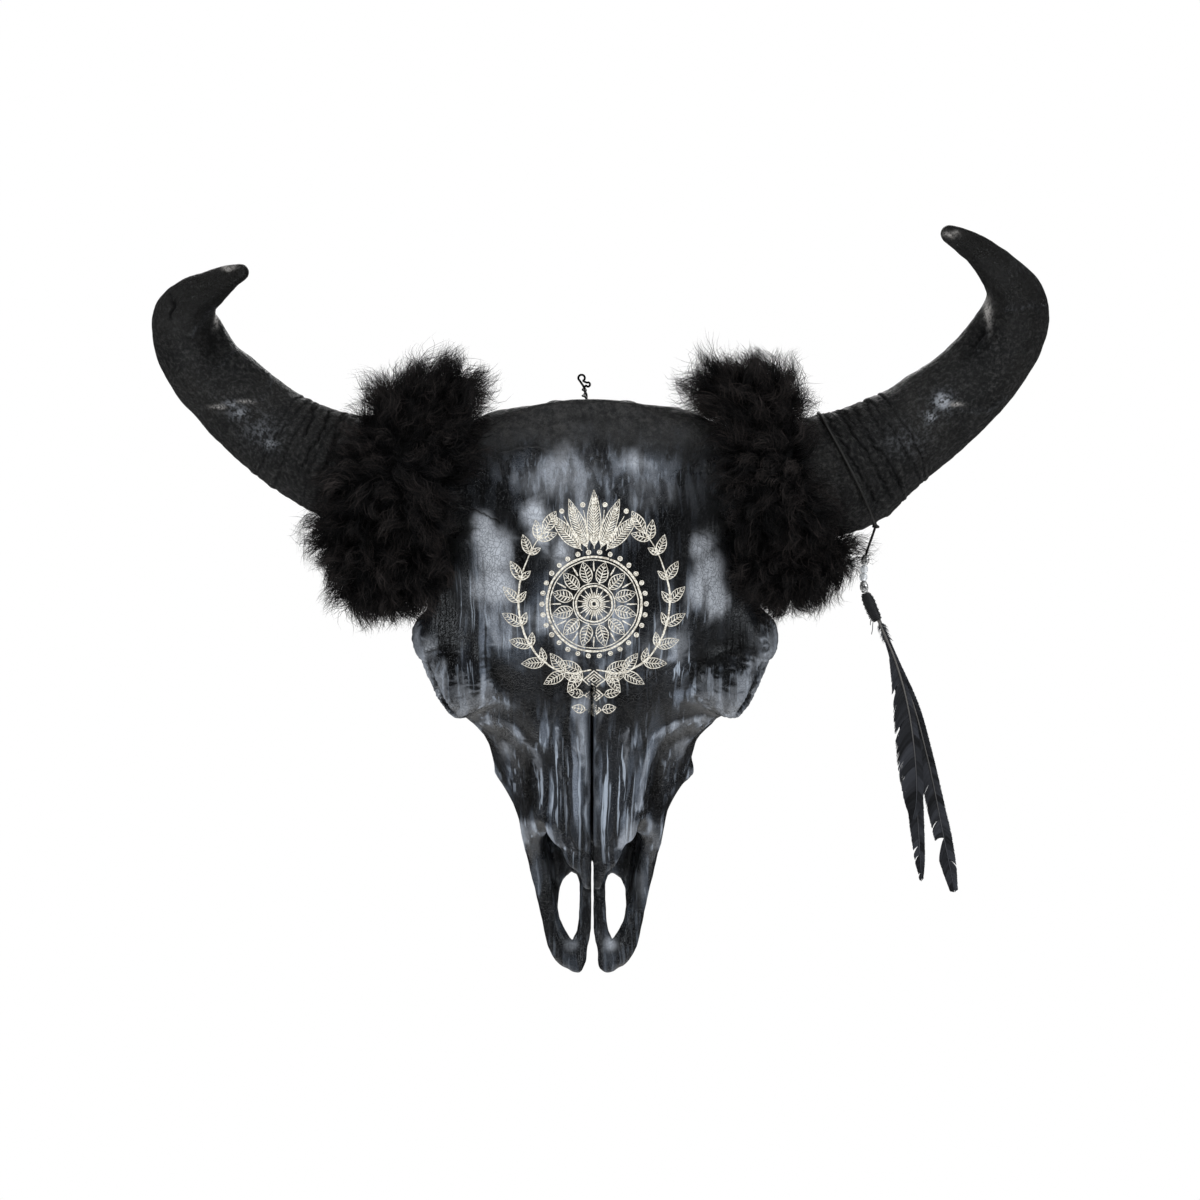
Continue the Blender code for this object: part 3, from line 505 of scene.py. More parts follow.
def grainMaterial(name, scale, detail, dark, light, span=None, rough=None, bump=None, **values):
    # two tones that a noise mixes, which may also set the roughness and raise the surface
    material, tree, shader = startMaterial(name, **values)
    grain = noiseOf(tree, placeOf(tree), scale, detail)
    shade(tree, shader, Base_Color=mixColour(tree, ramp(tree, grain, *span) if span else grain, dark, light))
    if rough:
        shade(tree, shader, Roughness=ramp(tree, grain, *rough))
    if bump:
        shade(tree, shader, Normal=bumpOf(tree, grain, *bump))
    return material


paint, horn, wool, vane = paintMaterial(), hornMaterial(), woolMaterial(), featherMaterial()
ivory = grainMaterial("engravedLine", 700.0, 4.0, (0.42, 0.38, 0.31, 1), (0.82, 0.79, 0.7, 1), (0.36, 0.62),
                      bump=(0.5, 0.0001), Roughness=0.62)
leather = grainMaterial("blackThong", 1800.0, 5.0, (0.006, 0.0055, 0.005, 1), (0.022, 0.019, 0.017, 1), (0.4, 0.7),
                        bump=(0.5, 0.0001), Roughness=0.55)
thread = grainMaterial("boundThread", 2600.0, 4.0, (0.004, 0.004, 0.0045, 1), (0.034, 0.034, 0.037, 1),
                       bump=(0.6, 0.00008), Roughness=0.5)
metal = grainMaterial("beadMetal", 900.0, 5.0, (0.09, 0.09, 0.095, 1), (0.86, 0.85, 0.83, 1), (0.38, 0.6),
                      rough=(0.3, 0.7, 0.42, 0.24), Metallic=0.55)
glass = grainMaterial("beadGlass", 600.0, 3.0, (0.78, 0.82, 0.86, 1), (0.95, 0.96, 0.97, 1),
                      Roughness=0.06, Transmission_Weight=0.5, IOR=1.5)
wire = grainMaterial("blackWire", 1200.0, 4.0, (0.008, 0.008, 0.009, 1), (0.09, 0.09, 0.095, 1), (0.55, 0.75),
                     rough=(0.3, 0.7, 0.5, 0.32), Metallic=0.85)
print("materials done")


# The thong that carries the beads and feathers, on the same route as in the CAD
thongForm = {"start": (0.216229, -0.150899, -0.111257), "diameter": 0.0018}
thongRoute = smoothLine([Vector(thongForm["start"])] + [stand(x, hangDistance, z) for x, z in thongLine], 3)


def makeThong():
    vertices, faces = [], []
    radii = [thongForm["diameter"] / 2 * (1 + 0.05 * math.sin(i * 2.3)) for i in range(len(thongRoute))]
    tubeInto(vertices, faces, thongRoute, radii, 14)
    length = sum((b - a).length for a, b in zip(thongRoute, thongRoute[1:]))
    return dress(newObject("hangingThong", vertices, faces), leather, "thong"), length


hangingThong, thongLength = makeThong()


# Skull
skullForm = {
    "smoothing": 5, "levelling": 22,
    "wave": 0.5, "grain": 0.16, "strands": 0.55,
    "orbit": (117, 256, 100), "orbitWidth": 0.045, "ribs": 0.34, "ribsFrom": 26, "ribsTo": 58,
    "seamWidth": 0.6, "seamDepth": 1.1, "seamReach": 0.0022, "shortestEdge": 0.0011, "splits": 3,
}

# Places in the front view: the middle of the face, and how far down crown, nose and specks begin
faceMiddle, crownEnd, noseStart, speckStart = 592, 458, 560, 690

# Low relief of the face as (x, y, half width, half height, rise in mm) in the front view
relief = [
    (506, 560, 13, 46, 2.4), (462, 560, 22, 50, -4.2), (536, 522, 17, 20, 2.2), (563, 560, 12, 18, 1.6),
    (520, 560, 8, 18, -1.6), (474, 632, 9, 52, -1.4), (452, 606, 14, 34, -2.2), (434, 660, 20, 26, 2.4),
    (697, 574, 12, 46, 2.4), (736, 566, 20, 46, -4.0), (697, 640, 8, 44, -1.4), (722, 648, 18, 38, -2.4),
    (758, 646, 17, 26, 2.4), (563, 462, 16, 26, 1.6), (632, 463, 14, 22, 1.6), (592, 600, 60, 70, 1.4),
    (470, 500, 16, 12, -1.8), (592, 470, 12, 26, -0.3), (528, 750, 9, 30, -1.6), (655, 750, 9, 30, -1.6),
    (568, 800, 9, 60, 1.0), (617, 800, 9, 60, 1.0), (545, 800, 6, 40, -0.8), (640, 800, 6, 40, -0.8),
    (496, 700, 20, 10, 1.2), (690, 700, 18, 10, 1.2),
]

# Strokes of pale paint as (x, y, half width, half height, strength) in the front view
rubs = [
    (468, 622, 13, 66, 0.85), (484, 648, 6, 48, 0.8), (680, 673, 15, 36, 1.0), (668, 640, 6, 30, 0.5),
    (498, 702, 14, 20, 0.55), (746, 678, 19, 10, 0.2), (556, 785, 7, 56, 1.0), (574, 800, 8, 62, 1.0),
    (607, 800, 8, 66, 1.0), (622, 790, 8, 56, 0.95), (636, 770, 6, 40, 0.7), (543, 742, 8, 34, 0.7),
    (650, 746, 9, 34, 0.7), (516, 770, 9, 30, 0.5), (668, 768, 9, 30, 0.5), (536, 898, 7, 46, 0.34),
    (648, 898, 7, 46, 0.38), (592, 510, 66, 46, 0.3), (592, 474, 92, 26, 0.36), (476, 590, 8, 60, 0.5),
]

# Painted highlights: pale satin patches painted where the softboxes' reflections fall on the paint, in the same way
paintedHighlights = [
    (482, 530, 12, 18, 0.85), (493, 554, 19, 24, 1.0), (497, 584, 20, 20, 1.0), (476, 588, 9, 26, 0.6),
    (534, 514, 13, 14, 0.95), (540, 532, 11, 13, 0.8), (562, 556, 11, 17, 0.85), (556, 572, 8, 10, 0.5),
    (563, 457, 12, 22, 0.5), (568, 480, 10, 14, 0.5), (633, 462, 12, 20, 0.5),
    (703, 546, 14, 15, 0.75), (711, 572, 13, 22, 1.1), (716, 598, 11, 18, 1.3), (698, 592, 12, 18, 0.7),
    (430, 650, 12, 15, 0.5), (444, 664, 10, 12, 0.5), (757, 640, 12, 14, 0.3), (764, 658, 12, 10, 0.3),
    (584, 704, 16, 9, 0.45), (497, 706, 22, 8, 0.45), (508, 744, 12, 16, 0.4), (678, 744, 14, 16, 0.42),
    (549, 880, 8, 30, 0.3), (640, 880, 8, 30, 0.3), (575, 478, 78, 32, 0.44), (640, 486, 54, 30, 0.4),
    (590, 514, 62, 26, 0.34), (592, 424, 60, 9, 0.2),
    (574, 945, 10, 9, 0.5), (612, 944, 10, 9, 0.45),
]

# Ridges of bone as (rise in mm, width in mm, points of the front view)
ridges = [
    (2.0, 3.6, [(482, 716), (500, 722), (520, 736), (531, 752), (537, 770), (541, 790), (543, 812)]),
    (2.0, 3.6, [(704, 718), (680, 725), (660, 735), (651, 750), (646, 768), (641, 806)]),
    (-1.5, 3.2, [(488, 730), (506, 738), (520, 756), (527, 780), (531, 806)]),
    (-1.5, 3.2, [(696, 730), (674, 740), (662, 758), (656, 782), (652, 806)]),
    (1.1, 2.2, [(556, 728), (560, 770), (566, 812), (574, 850)]),
    (1.1, 2.2, [(628, 728), (624, 770), (617, 812), (608, 850)]),
]

# Seams between the bones and deeper cracks, as (depth in mm, points of the front view)
seams = [
    (0.8, [(566, 775), (569, 806), (571, 838), (583, 855)]),
    (0.5, [(619, 770), (617, 805), (614, 835), (603, 852)]),
    (1.3, [(461, 507), (478, 512), (502, 523)]),
    (0.4, [(585, 690), (568, 698), (556, 716), (549, 742)]),
    (0.4, [(600, 690), (617, 698), (629, 716), (637, 742)]),
    (0.5, [(690, 530), (706, 536), (724, 548)]),
    (0.5, [(500, 452), (528, 446), (556, 450)]),
]


def wiggled(points, seed, amount=1.1, step=6):
    generator = np.random.default_rng(seed)
    line = flatLine(points, 8)
    made = []
    for i in range(len(line) - 1):
        count = max(1, int((line[i + 1] - line[i]).length / step * 4))
        along = (line[i + 1] - line[i]).normalized()
        for k in range(count):
            shift = generator.uniform(-amount, amount)
            point = line[i].lerp(line[i + 1], k / count)
            made.append((point.x - along.y * shift, point.y + along.x * shift))
    return made


def onSurface(tree, points):
    made = []
    for px, py in points:
        hit = tree.ray_cast(*frontRay(px, py))[0]
        if hit is not None:
            made.append(hit)
    return made


def awayFrom(px, py, line):
    # how far a point of the front view is from a line drawn in it
    best = 1e9
    for a, b in zip(line, line[1:]):
        wayX, wayY = b.x - a.x, b.y - a.y
        t = max(0.0, min(1.0, ((px - a.x) * wayX + (py - a.y) * wayY) / (wayX * wayX + wayY * wayY)))
        best = min(best, math.hypot(px - a.x - t * wayX, py - a.y - t * wayY))
    return best


def ovalShare(px, py, x, y, halfX, halfY):
    # 1 at the rim of an oval of the front view
    return ((px - x) / halfX) ** 2 + ((py - y) / halfY) ** 2


def patchAt(px, py, patches, sharp):
    best = 0.0
    for *oval, strength in patches:
        d = ovalShare(px, py, *oval)
        if d < 6:
            best = max(best, strength * math.exp(-0.9 * d**sharp))
    return best


def finer(shape, finder, reach, longest, passes):
    # more vertices where something narrow is cut
    for _ in range(passes):
        edges = []
        for edge in shape.edges:
            if edge.calc_length() > longest:
                middle = (edge.verts[0].co + edge.verts[1].co) / 2
                if finder.find(middle)[2] < reach + edge.calc_length() * 0.5:
                    edges.append(edge)
        if edges:
            bmesh.ops.subdivide_edges(shape, edges=edges, cuts=1, use_grid_fill=True)
        bmesh.ops.triangulate(shape, faces=[f for f in shape.faces if len(f.verts) > 4])


def prominence(shape):
    # how far each vertex stands over its surroundings, in mm
    co = np.array([v.co for v in shape.verts])
    normals = np.array([v.normal for v in shape.verts])
    pairs = np.array([(e.verts[0].index, e.verts[1].index) for e in shape.edges])
    count = np.zeros(len(co))
    np.add.at(count, pairs.ravel(), 1)
    smooth = co.copy()
    for _ in range(skullForm["levelling"]):
        total = np.zeros_like(co)
        for axis in range(3):
            total[:, axis] = np.bincount(pairs[:, 0], smooth[pairs[:, 1], axis], len(co))
            total[:, axis] += np.bincount(pairs[:, 1], smooth[pairs[:, 0], axis], len(co))
        smooth = 0.4 * smooth + 0.6 * total / count[:, None]
    return (((co - smooth) * normals).sum(1) / mm).tolist()


def makeSkull():
    obj = mergedCopy("skull", "skullBone")
    rounder = obj.modifiers.new("Round", "SUBSURF")
    rounder.levels = rounder.render_levels = 2
    soften = obj.modifiers.new("Soften", "SMOOTH")
    soften.factor = 0.5
    soften.iterations = skullForm["smoothing"]
    applyModifiers(obj)
    shape = toBmesh(obj)
    bpy.data.objects.remove(obj)
    tree = BVHTree.FromBMesh(shape)
    dense, depths = [], []
    for i, (depth, points) in enumerate(seams):
        line = onSurface(tree, wiggled(points, i))
        for a, b in zip(line, line[1:]):
            if (b - a).length < 0.02:
                dense += [a.lerp(b, t / 4) for t in range(4)]
                depths += [depth] * 4
    finder = kdtree.KDTree(len(dense))
    for i, point in enumerate(dense):
        finder.insert(point, i)
    finder.balance()
    finer(shape, finder, skullForm["seamReach"], skullForm["shortestEdge"], skullForm["splits"])
    shape.normal_update()
    orbitX, orbitA, orbitH = skullForm["orbit"]
    orbits = [lean(side * orbitX, orbitA, orbitH) for side in (-1, 1)]
    ridgeLines = [(height, width, flatLine(points, 4)) for height, width, points in ridges]
    shifts, crackAndShade = [], []
    for vert in shape.verts:
        co = vert.co
        wave = noise.fractal(co * 24, 1.0, 2.0, 3) * skullForm["wave"]
        grain = noise.fractal(co * 160, 1.0, 2.0, 2) * skullForm["grain"]
        shift = wave + grain
        for centre in orbits:
            offset = co - centre
            far = math.hypot(offset.y, offset.z) / mm
            rimmed = abs(offset.x) < skullForm["orbitWidth"] and skullForm["ribsFrom"] < far < skullForm["ribsTo"]
            if rimmed and vert.normal.y < 0.3:
                turn = math.atan2(offset.z, offset.y)
                ribs = math.sin(turn * 58 + 2.5 * noise.noise(co * 90)) + 0.6 * math.sin(turn * 97 + 1.3)
                shift += skullForm["ribs"] * ribs * max(0.0, 1 - abs(far - 40) / 20)
        px, py = frontPoint(co)
        facing = limited((0.1 - vert.normal.y) / 0.5)
        rise = 0.0
        if facing > 0 and 400 < py < 900:
            for *oval, height in relief:
                d = ovalShare(px, py, *oval)
                rise += height * math.exp(-d) if d < 8 else 0.0
            for height, width, line in ridgeLines:
                d = awayFrom(px, py, line) * 0.75 / width
                rise += height * bell(d) if d < 3 else 0.0
            strand = noise.noise(Vector((co.x * 110, 0, co.z * 17)))
            rise += skullForm["strands"] * strand * (1 if py > 440 else 0.4)
        outward = Vector((0, -rise * facing * mm, 0))
        _, index, near = finder.find(co)
        dip = bell(near / mm / skullForm["seamWidth"]) * min(1.0, depths[index])
        crackAndShade.append(dip)
        shifts.append(vert.normal * (shift - skullForm["seamDepth"] * dip) * mm + outward)
    for vert, shift in zip(shape.verts, shifts):
        vert.co += shift
    shape.normal_update()
    shape.verts.index_update()
    marks = {"rubAndHighlight": [], "paintedHighlight": [], "dull": [], "speck": [], "low": [], "crackAndShade": crackAndShade}
    for vert, high in zip(shape.verts, prominence(shape)):
        px, py = frontPoint(vert.co)
        ahead = limited((0.35 - vert.normal.y) / 0.5)
        band = limited((crownEnd - py + 16 * noise.noise(vert.co * 40)) / 34)
        # raised spots of the face take pale dry brush, and also a painted highlight among the pale satin patches
        wearAndHighlight = limited(high / 0.55 - 0.25) * limited((py - noseStart) / 60)
        wearAndHighlight *= (0.3 if py > 850 else 1.0) * min(1.0, 0.15 + abs(px - faceMiddle) / 14)
        outer = 0.3 if abs(px - faceMiddle) > 112 and py < 720 else 0.75
        marks["rubAndHighlight"].append(max(0.04, patchAt(px, py, rubs, 2), outer * wearAndHighlight) * (0.3 + 0.7 * ahead))
        # painted highlight: pale satin patches on the front, on raised spots, and faintly on surfaces turned away
        marks["paintedHighlight"].append(max(patchAt(px, py, paintedHighlights, 1) * ahead, 0.4 * wearAndHighlight, 0.14 * (1 - ahead)))
        marks["dull"].append(max(band, 0.5 * (1 - ahead)))
        marks["speck"].append(0.2 + 0.6 * limited((py - speckStart) / 60))
        # painted shade: hollows that lie below their surroundings are marked to be painted darker
        marks["low"].append(limited(-high / 0.6 - 0.2, 0.9))
    obj = fromBmesh("skullBone", shape)
    addFloats(obj, marks)
    return dress(obj, paint, "skull")


# Engraved ornament, drawn flat in millimetres round its own centre and then laid on the forehead
ornament = {
    "centre": (594, 604),
    "mmPerStep": 0.76,
    "lineWidth": 0.88,
    "stepLength": 1.8,
    "drift": 0.45,
    "lift": 0.07,
    "depth": 0.5,
    "petals": 12,
    "leafPairs": 9,
    "barbSpacing": 2.15,
}


def polar(radius, turn, x=0.0, y=0.0):
    return x + radius * math.cos(turn), y + radius * math.sin(turn)


def ringLine(radius, count=64, x=0.0, y=0.0):
    return [polar(radius, math.tau * i / count, x, y) for i in range(count + 1)]


def leafLines(x, y, turn, length, width):
    # outline, midrib and close-set cuts of one leaf that grows from (x, y)
    cosine, sine = math.cos(turn), math.sin(turn)

    def at(along, across):
        return x + along * cosine - across * sine, y + along * sine + across * cosine

    def reach(t):
        return width * math.sin(math.pi * min(1, max(0, t)) ** 0.8) ** 0.85

    lines = []
    for side in (-1, 1):
        lines.append(([at(length * t, side * reach(t)) for t in np.linspace(0, 1, 10)], 0.9))
    lines.append(([at(length * t, 0) for t in np.linspace(-0.05, 0.96, 5)], 0.95))
    cuts = int(length / ornament["barbSpacing"])
    for i in range(1, cuts):
        t = i / cuts
        later = t + 0.1
        for side in (-1, 1):
            if reach(later) > 1.3:
                lines.append(([at(length * t, side * 0.5), at(length * later, side * reach(later) * 0.84)], 1.1))
    return lines


def dotLines(x, y, radius):
    return [(ringLine(radius * share, 10, x, y), 1.0) for share in (0.25, 1.0)]


def ornamentLines():
    lines = []
    for radius, weight in ((2.2, 1.6), (3.6, 0.9), (13.6, 1.5), (15.6, 0.8), (33.6, 0.9), (36.0, 1.9)):
        lines.append((ringLine(radius), weight))
    for i in range(32):
        turn = math.tau * i / 32
        inner, outer = 4.6, 12.4 if i % 2 else 9.0
        lines.append(([polar(inner, turn), polar(outer, turn)], 1.15))
    for i in range(ornament["petals"]):
        turn = math.tau * (i + 0.5) / ornament["petals"]
        lines += leafLines(*polar(16.4, turn), turn, 16.6, 4.6)
        turn = math.tau * i / ornament["petals"]
        lines.append(([polar(25, turn), polar(32.5, turn)], 1.3))
    for i in range(30):
        lines += dotLines(*polar(39.6, math.tau * i / 30), 1.5)
    # two sprays, left and right
    for side in (-1, 1):
        stem = flatLine([(side * x, y) for x, y in (
            (2, -50), (22, -52), (42, -40), (55, -16), (57, 12), (49, 38), (38, 55))], 8)
        lines.append(([(p.x, p.y) for p in stem], 1.7))
        pairs = ornament["leafPairs"]
        for i in range(pairs):
            k = int((i + 0.7) / pairs * (len(stem) - 2))
            heading = math.atan2(stem[k + 1].y - stem[k].y, stem[k + 1].x - stem[k].x)
            size = 19 - 0.5 * i
            for way in (-1, 1):
                inward = way * side > 0
                length = size * (0.62 if inward and 1 < i < 8 else 1)
                turn = heading + way * (0.62 if inward else 0.78)
                lines += leafLines(stem[k].x, stem[k].y, turn, length, length * 0.22)
        lines += leafLines(stem[-1].x, stem[-1].y, math.radians(90 + side * 30), 18, 4.2)
    # a fan of long leaves above and a short pendant below
    for i in range(-2, 3):
        turn = math.radians(90 - i * 21)
        lines += leafLines(15 * math.cos(turn), 36 + 8 * math.sin(turn), turn, 43 - 4 * abs(i), 5.2)
    for i in (-2, -1, 1, 2):
        turn = math.radians(90 - (i - math.copysign(0.5, i)) * 21)
        cosine, sine = math.cos(turn), math.sin(turn)
        lines.append(([(24 * cosine, 37 + 12 * sine), (44 * cosine, 38 + 34 * sine)], 1.2))
        lines += dotLines(47 * cosine, 39 + 37 * sine, 1.5)
    for i in range(3):
        half, middle = 8.4 - 1.4 * i, -57.5 - 11.5 * i
        drop = half * 0.8
        for share in (1.0, 0.62, 0.28):
            lines.append(([(0, middle + drop * share), (half * share, middle), (0, middle - drop * share),
                           (-half * share, middle), (0, middle + drop * share)], 1.1))
        for side in (-1, 1):
            lines += leafLines(side * (half + 1), middle, math.radians(90 - side * 78), 14 - 1.8 * i, 3.2)
    return lines


def makeEngraving(skull):
    tree = surfaceTree(skull)
    generator = np.random.default_rng(7)
    # without a seed of its own noise_vector would follow the clock
    noise.seed_set(7)
    centreX, centreY = ornament["centre"]
    scale = ornament["mmPerStep"]
    vertices, faces = [], []
    for points, weight in ornamentLines():
        stepped = []
        for (x0, y0), (x1, y1) in zip(points, points[1:]):
            count = max(1, int(math.hypot(x1 - x0, y1 - y0) / ornament["stepLength"]))
            stepped += [(x0 + (x1 - x0) * k / count, y0 + (y1 - y0) * k / count) for k in range(count)]
        stepped.append(points[-1])
        rows = []
        for x, y in stepped:
            drift = noise.noise_vector(Vector((x, y, 0)) * 0.12) * ornament["drift"]
            x, y = x + drift.x, y + drift.y
            hit, normal, _, _ = tree.ray_cast(*frontRay(centreX + x / scale, centreY - y / scale))
            if hit is not None:
                rows.append((hit, normal))
        if len(rows) < 2:
            continue
        start = len(vertices)
        closed = (rows[0][0] - rows[-1][0]).length < 1e-6
        for i, (point, normal) in enumerate(rows):
            before = rows[max(i - 1, 0)][0] if not closed or i else rows[-2][0]
            after = rows[min(i + 1, len(rows) - 1)][0] if not closed or i < len(rows) - 1 else rows[1][0]
            along = (after - before).normalized()
            side = along.cross(normal).normalized()
            t = i / (len(rows) - 1)
            taper = 1.0 if closed else 0.45 + 0.55 * math.sin(math.pi * min(1, t * 1.15 + 0.08)) ** 0.5
            half = 0.5 * ornament["lineWidth"] * weight * taper * generator.uniform(0.82, 1.18) * mm
            lift = normal * ornament["lift"] * mm
            foot = point - normal * ornament["depth"] * mm
            vertices += [point + side * half + lift, point - side * half + lift, foot]
        for i in range(len(rows) - 1):
            a, b = start + 3 * i, start + 3 * i + 3
            faces += [(a, a + 1, b + 1, b), (a + 1, a + 2, b + 2, b + 1), (a + 2, a, b, b + 2)]
        end = start + 3 * (len(rows) - 1)
        faces += [(start, start + 2, start + 1), (end, end + 1, end + 2)]
    obj = newObject("engravedOrnament", vertices, faces, smooth=False)
    turnOutward(obj)
    dress(obj, ivory)


skull = makeSkull()
makeEngraving(skull)
print("skull done")


# Horns
hornForm = {
    "steps": 18,
    "sides": 132,
    "ringStep": (4.0, 11.0),
    "wave": 0.7,
    "grooveWidth": 1.1, "rimAway": 2.6, "rimWidth": 1.8,
    "edgeWidth": 2.2, "splitWidth": 1.8, "splitDepth": 1.9,
    # rub patches on each horn are pale scuffs and flakes and, on the front of each horn, painted highlights; pale
    # patches are peeled layers and painted glints at the tips and lower edges
    "left": {"stations": leftHorn, "ridges": (20, 118), "ridgeDepth": 1.1, "seed": 11,
             "peelAndGlint": [(217, 321, 3, 6, 0.8), (218, 407, 7, 1.8, 0.9), (245, 402, 8, 1.4, 0.6), (228, 268, 7, 2, 0.9)],
             "rubAndHighlight": [(262, 432, 20, 17, 0.6), (240, 413, 14, 8, 0.75), (270, 444, 10, 9, 0.85), (232, 404, 9, 5, 0.8)],
             "hollows": [(213, 342, 13, 27, -4.0), (222, 328, 4, 16, -1.2), (176, 306, 5, 20, -1.0)],
             "edges": [(0.9, [(268, 366), (271, 380), (266, 392), (256, 400), (238, 402), (220, 408)]),
                       (1.5, [(190, 336), (202, 322), (214, 308)]), (1.2, [(212, 368), (222, 364), (236, 350)])],
             "cracks": [[(345, 418), (338, 438), (326, 462), (318, 482)],
                        [(330, 410), (324, 428), (312, 450), (300, 468)],
                        [(338, 424), (334, 446), (330, 470)], [(318, 404), (312, 420), (304, 434)],
                        [(168, 294), (172, 306), (169, 320)]]},
    "right": {"stations": rightHorn, "ridges": (20, 114), "ridgeDepth": 1.5, "seed": 23,
              "peelAndGlint": [(987, 313, 4, 13, 1.2), (950, 234, 7, 3, 0.9), (957, 404, 5, 2, 0.8)],
              "rubAndHighlight": [(943, 402, 12, 12, 1.0), (930, 416, 9, 9, 0.85), (905, 440, 24, 17, 0.45),
                      (1018, 262, 9, 12, 0.3)],
              "hollows": [(980, 332, 9, 26, -3.3), (967, 352, 11, 13, -3.1), (960, 384, 16, 10, -0.8)],
              "edges": [(1.1, [(956, 409), (972, 412), (990, 408), (1006, 398)]),
                        (0.8, [(1008, 309), (1028, 306), (1047, 307)]),
                        (1.4, [(992, 296), (991, 312), (986, 334), (976, 350)]),
                        (0.9, [(950, 388), (957, 400), (956, 412)])],
              "cracks": [[(824, 410), (838, 436), (858, 470), (878, 508)],
                         [(836, 405), (852, 432), (872, 462), (892, 498)],
                         [(849, 401), (866, 430), (884, 456), (902, 486)], [(862, 398), (876, 420), (884, 436)],
                         [(968, 346), (978, 340), (982, 330)]]},
}


def hornRings(stations, steps):
    line = smoothLine([stand(*s[:3]) for s in stations], steps)
    radii = [r.x * mm for r in smoothLine([(s[3], 0, 0) for s in stations], steps)]
    tip, end, last = (line[-1] - line[-2]).normalized(), line[-1], radii[-1]
    for reach, share in ((0.35, 0.9), (0.65, 0.72), (0.85, 0.48), (0.95, 0.26)):
        line.append(end + tip * last * reach)
        radii.append(last * share)
    return line, radii


def makeHorn(side):
    facts = hornForm[side]
    steps, sides = hornForm["steps"], hornForm["sides"]
    edges = [(height, flatLine(points, 4)) for height, points in facts["edges"]]
    cracks = [flatLine(points, 4) for points in facts["cracks"]]
    line, radii = hornRings(facts["stations"], steps)
    generator = np.random.default_rng(facts["seed"])
    spots = []
    place = facts["ridges"][0]
    while place < facts["ridges"][1]:
        spots.append((place, generator.uniform(0.15, 1.0) ** 1.6, generator.uniform(0, math.tau)))
        place += generator.uniform(*hornForm["ringStep"])
    across = Vector((0, -1, 0))
    vertices, uv, marks = [], [], {"rubAndHighlight": [], "peelAndGlint": [], "tip": [], "crackAndShade": []}
    gone = 0.0
    for i, point in enumerate(line):
        along = (line[min(i + 1, len(line) - 1)] - line[max(i - 1, 0)]).normalized()
        if i == 0:
            along = Vector((math.copysign(1, line[1].x), 0, 0))
        if i:
            gone += (point - line[i - 1]).length / mm
        front = (across - along * across.dot(along)).normalized()
        out = along.cross(front)
        share = i / (len(line) - 1)
        for k in range(sides):
            t = math.tau * k / sides
            way = front * 0.96 * math.cos(t) + out * math.sin(t)
            spot = point + way * radii[i]
            rough = 0.12 + 0.26 * max(0.0, 1 - share / 0.55)
            shift = hornForm["wave"] * noise.fractal(spot * 45, 1.0, 2.0, 3)
            shift += rough * noise.fractal(spot * 210, 1.0, 2.0, 2)
            shift += 0.22 * noise.noise(Vector((math.cos(t) * 16, math.sin(t) * 16, gone * 0.035 + facts["seed"])))
            grooveShade = 0.0
            for where, strength, phase in spots:
                bent = where + 2.6 * math.sin(t + phase) + 3.5 * noise.noise(spot * 45) + 1.2 * noise.noise(spot * 170)
                d = gone - bent
                shift -= facts["ridgeDepth"] * strength * bell(d / hornForm["grooveWidth"])
                rim = bell((d - hornForm["rimAway"]) / hornForm["rimWidth"])
                shift += 0.5 * facts["ridgeDepth"] * strength * rim
                grooveShade = max(grooveShade, 0.75 * strength * bell(d / 1.2))
            px, py = frontPoint(spot)
            ahead = limited(0.2 - 1.6 * way.y)
            px, py = px + 3 * noise.noise(spot * 180), py + 3 * noise.noise(spot * 180 + Vector((9, 9, 9)))
            split, hollowShade = 0.0, 0.0
            if ahead > 0:
                for *oval, height in facts["hollows"]:
                    deep = ahead * math.exp(-ovalShare(px, py, *oval))
                    shift += height * deep
                    hollowShade = max(hollowShade, deep if height < -3 else 0.0)
                for height, edge in edges:
                    d = awayFrom(px, py, edge)
                    shift += ahead * height * bell(d / hornForm["edgeWidth"]) if d < 8 else 0.0
                for edge in cracks:
                    d = awayFrom(px, py, edge)
                    split = max(split, ahead * bell(d / hornForm["splitWidth"]) if d < 6 else 0.0)
            shift -= hornForm["splitDepth"] * split
            # the crack mark carries the cracks and also painted shade, dark in the deep hollows and in the growth-ring
            # grooves
            marks["crackAndShade"].append(max(split, 0.8 * hollowShade, grooveShade))
            scale = min(1.0, radii[i] / (12 * mm))
            spot = point + way * (radii[i] + shift * scale * mm)
            vertices.append(spot)
            near = 0.03 + 0.36 * max(0.0, 1 - min(awayFrom(px, py, edge) for _, edge in edges) / 4)
            # pale near the raised edges and in the rub patches: scuffs, and on the front of each horn painted
            # highlights
            near = max(near, patchAt(px, py, facts["rubAndHighlight"], 1))
            marks["rubAndHighlight"].append(near * (1.0 if way.y < 0.3 else 0.3))
            # pale patches: peeled layers and painted glints
            marks["peelAndGlint"].append(patchAt(px, py, facts["peelAndGlint"], 1) if way.y < 0.4 else 0.0)
            marks["tip"].append(limited((share - 0.62) / 0.25))
            uv.append((gone * mm * 8, 0.5 * abs(2 * k / sides - 1)))
    faces = []
    loftInto(faces, 0, len(line), sides)
    obj = newObject(f"hornSheath_{side}", vertices, faces)
    turnOutward(obj)
    layer = obj.data.uv_layers.new(name="grain")
    for loop in obj.data.loops:
        layer.data[loop.index].uv = uv[loop.vertex_index]
    addFloats(obj, marks)
    return dress(obj, horn, f"horn_{side}")


makeHorn("left")
hornRight = makeHorn("right")
print("horns done")


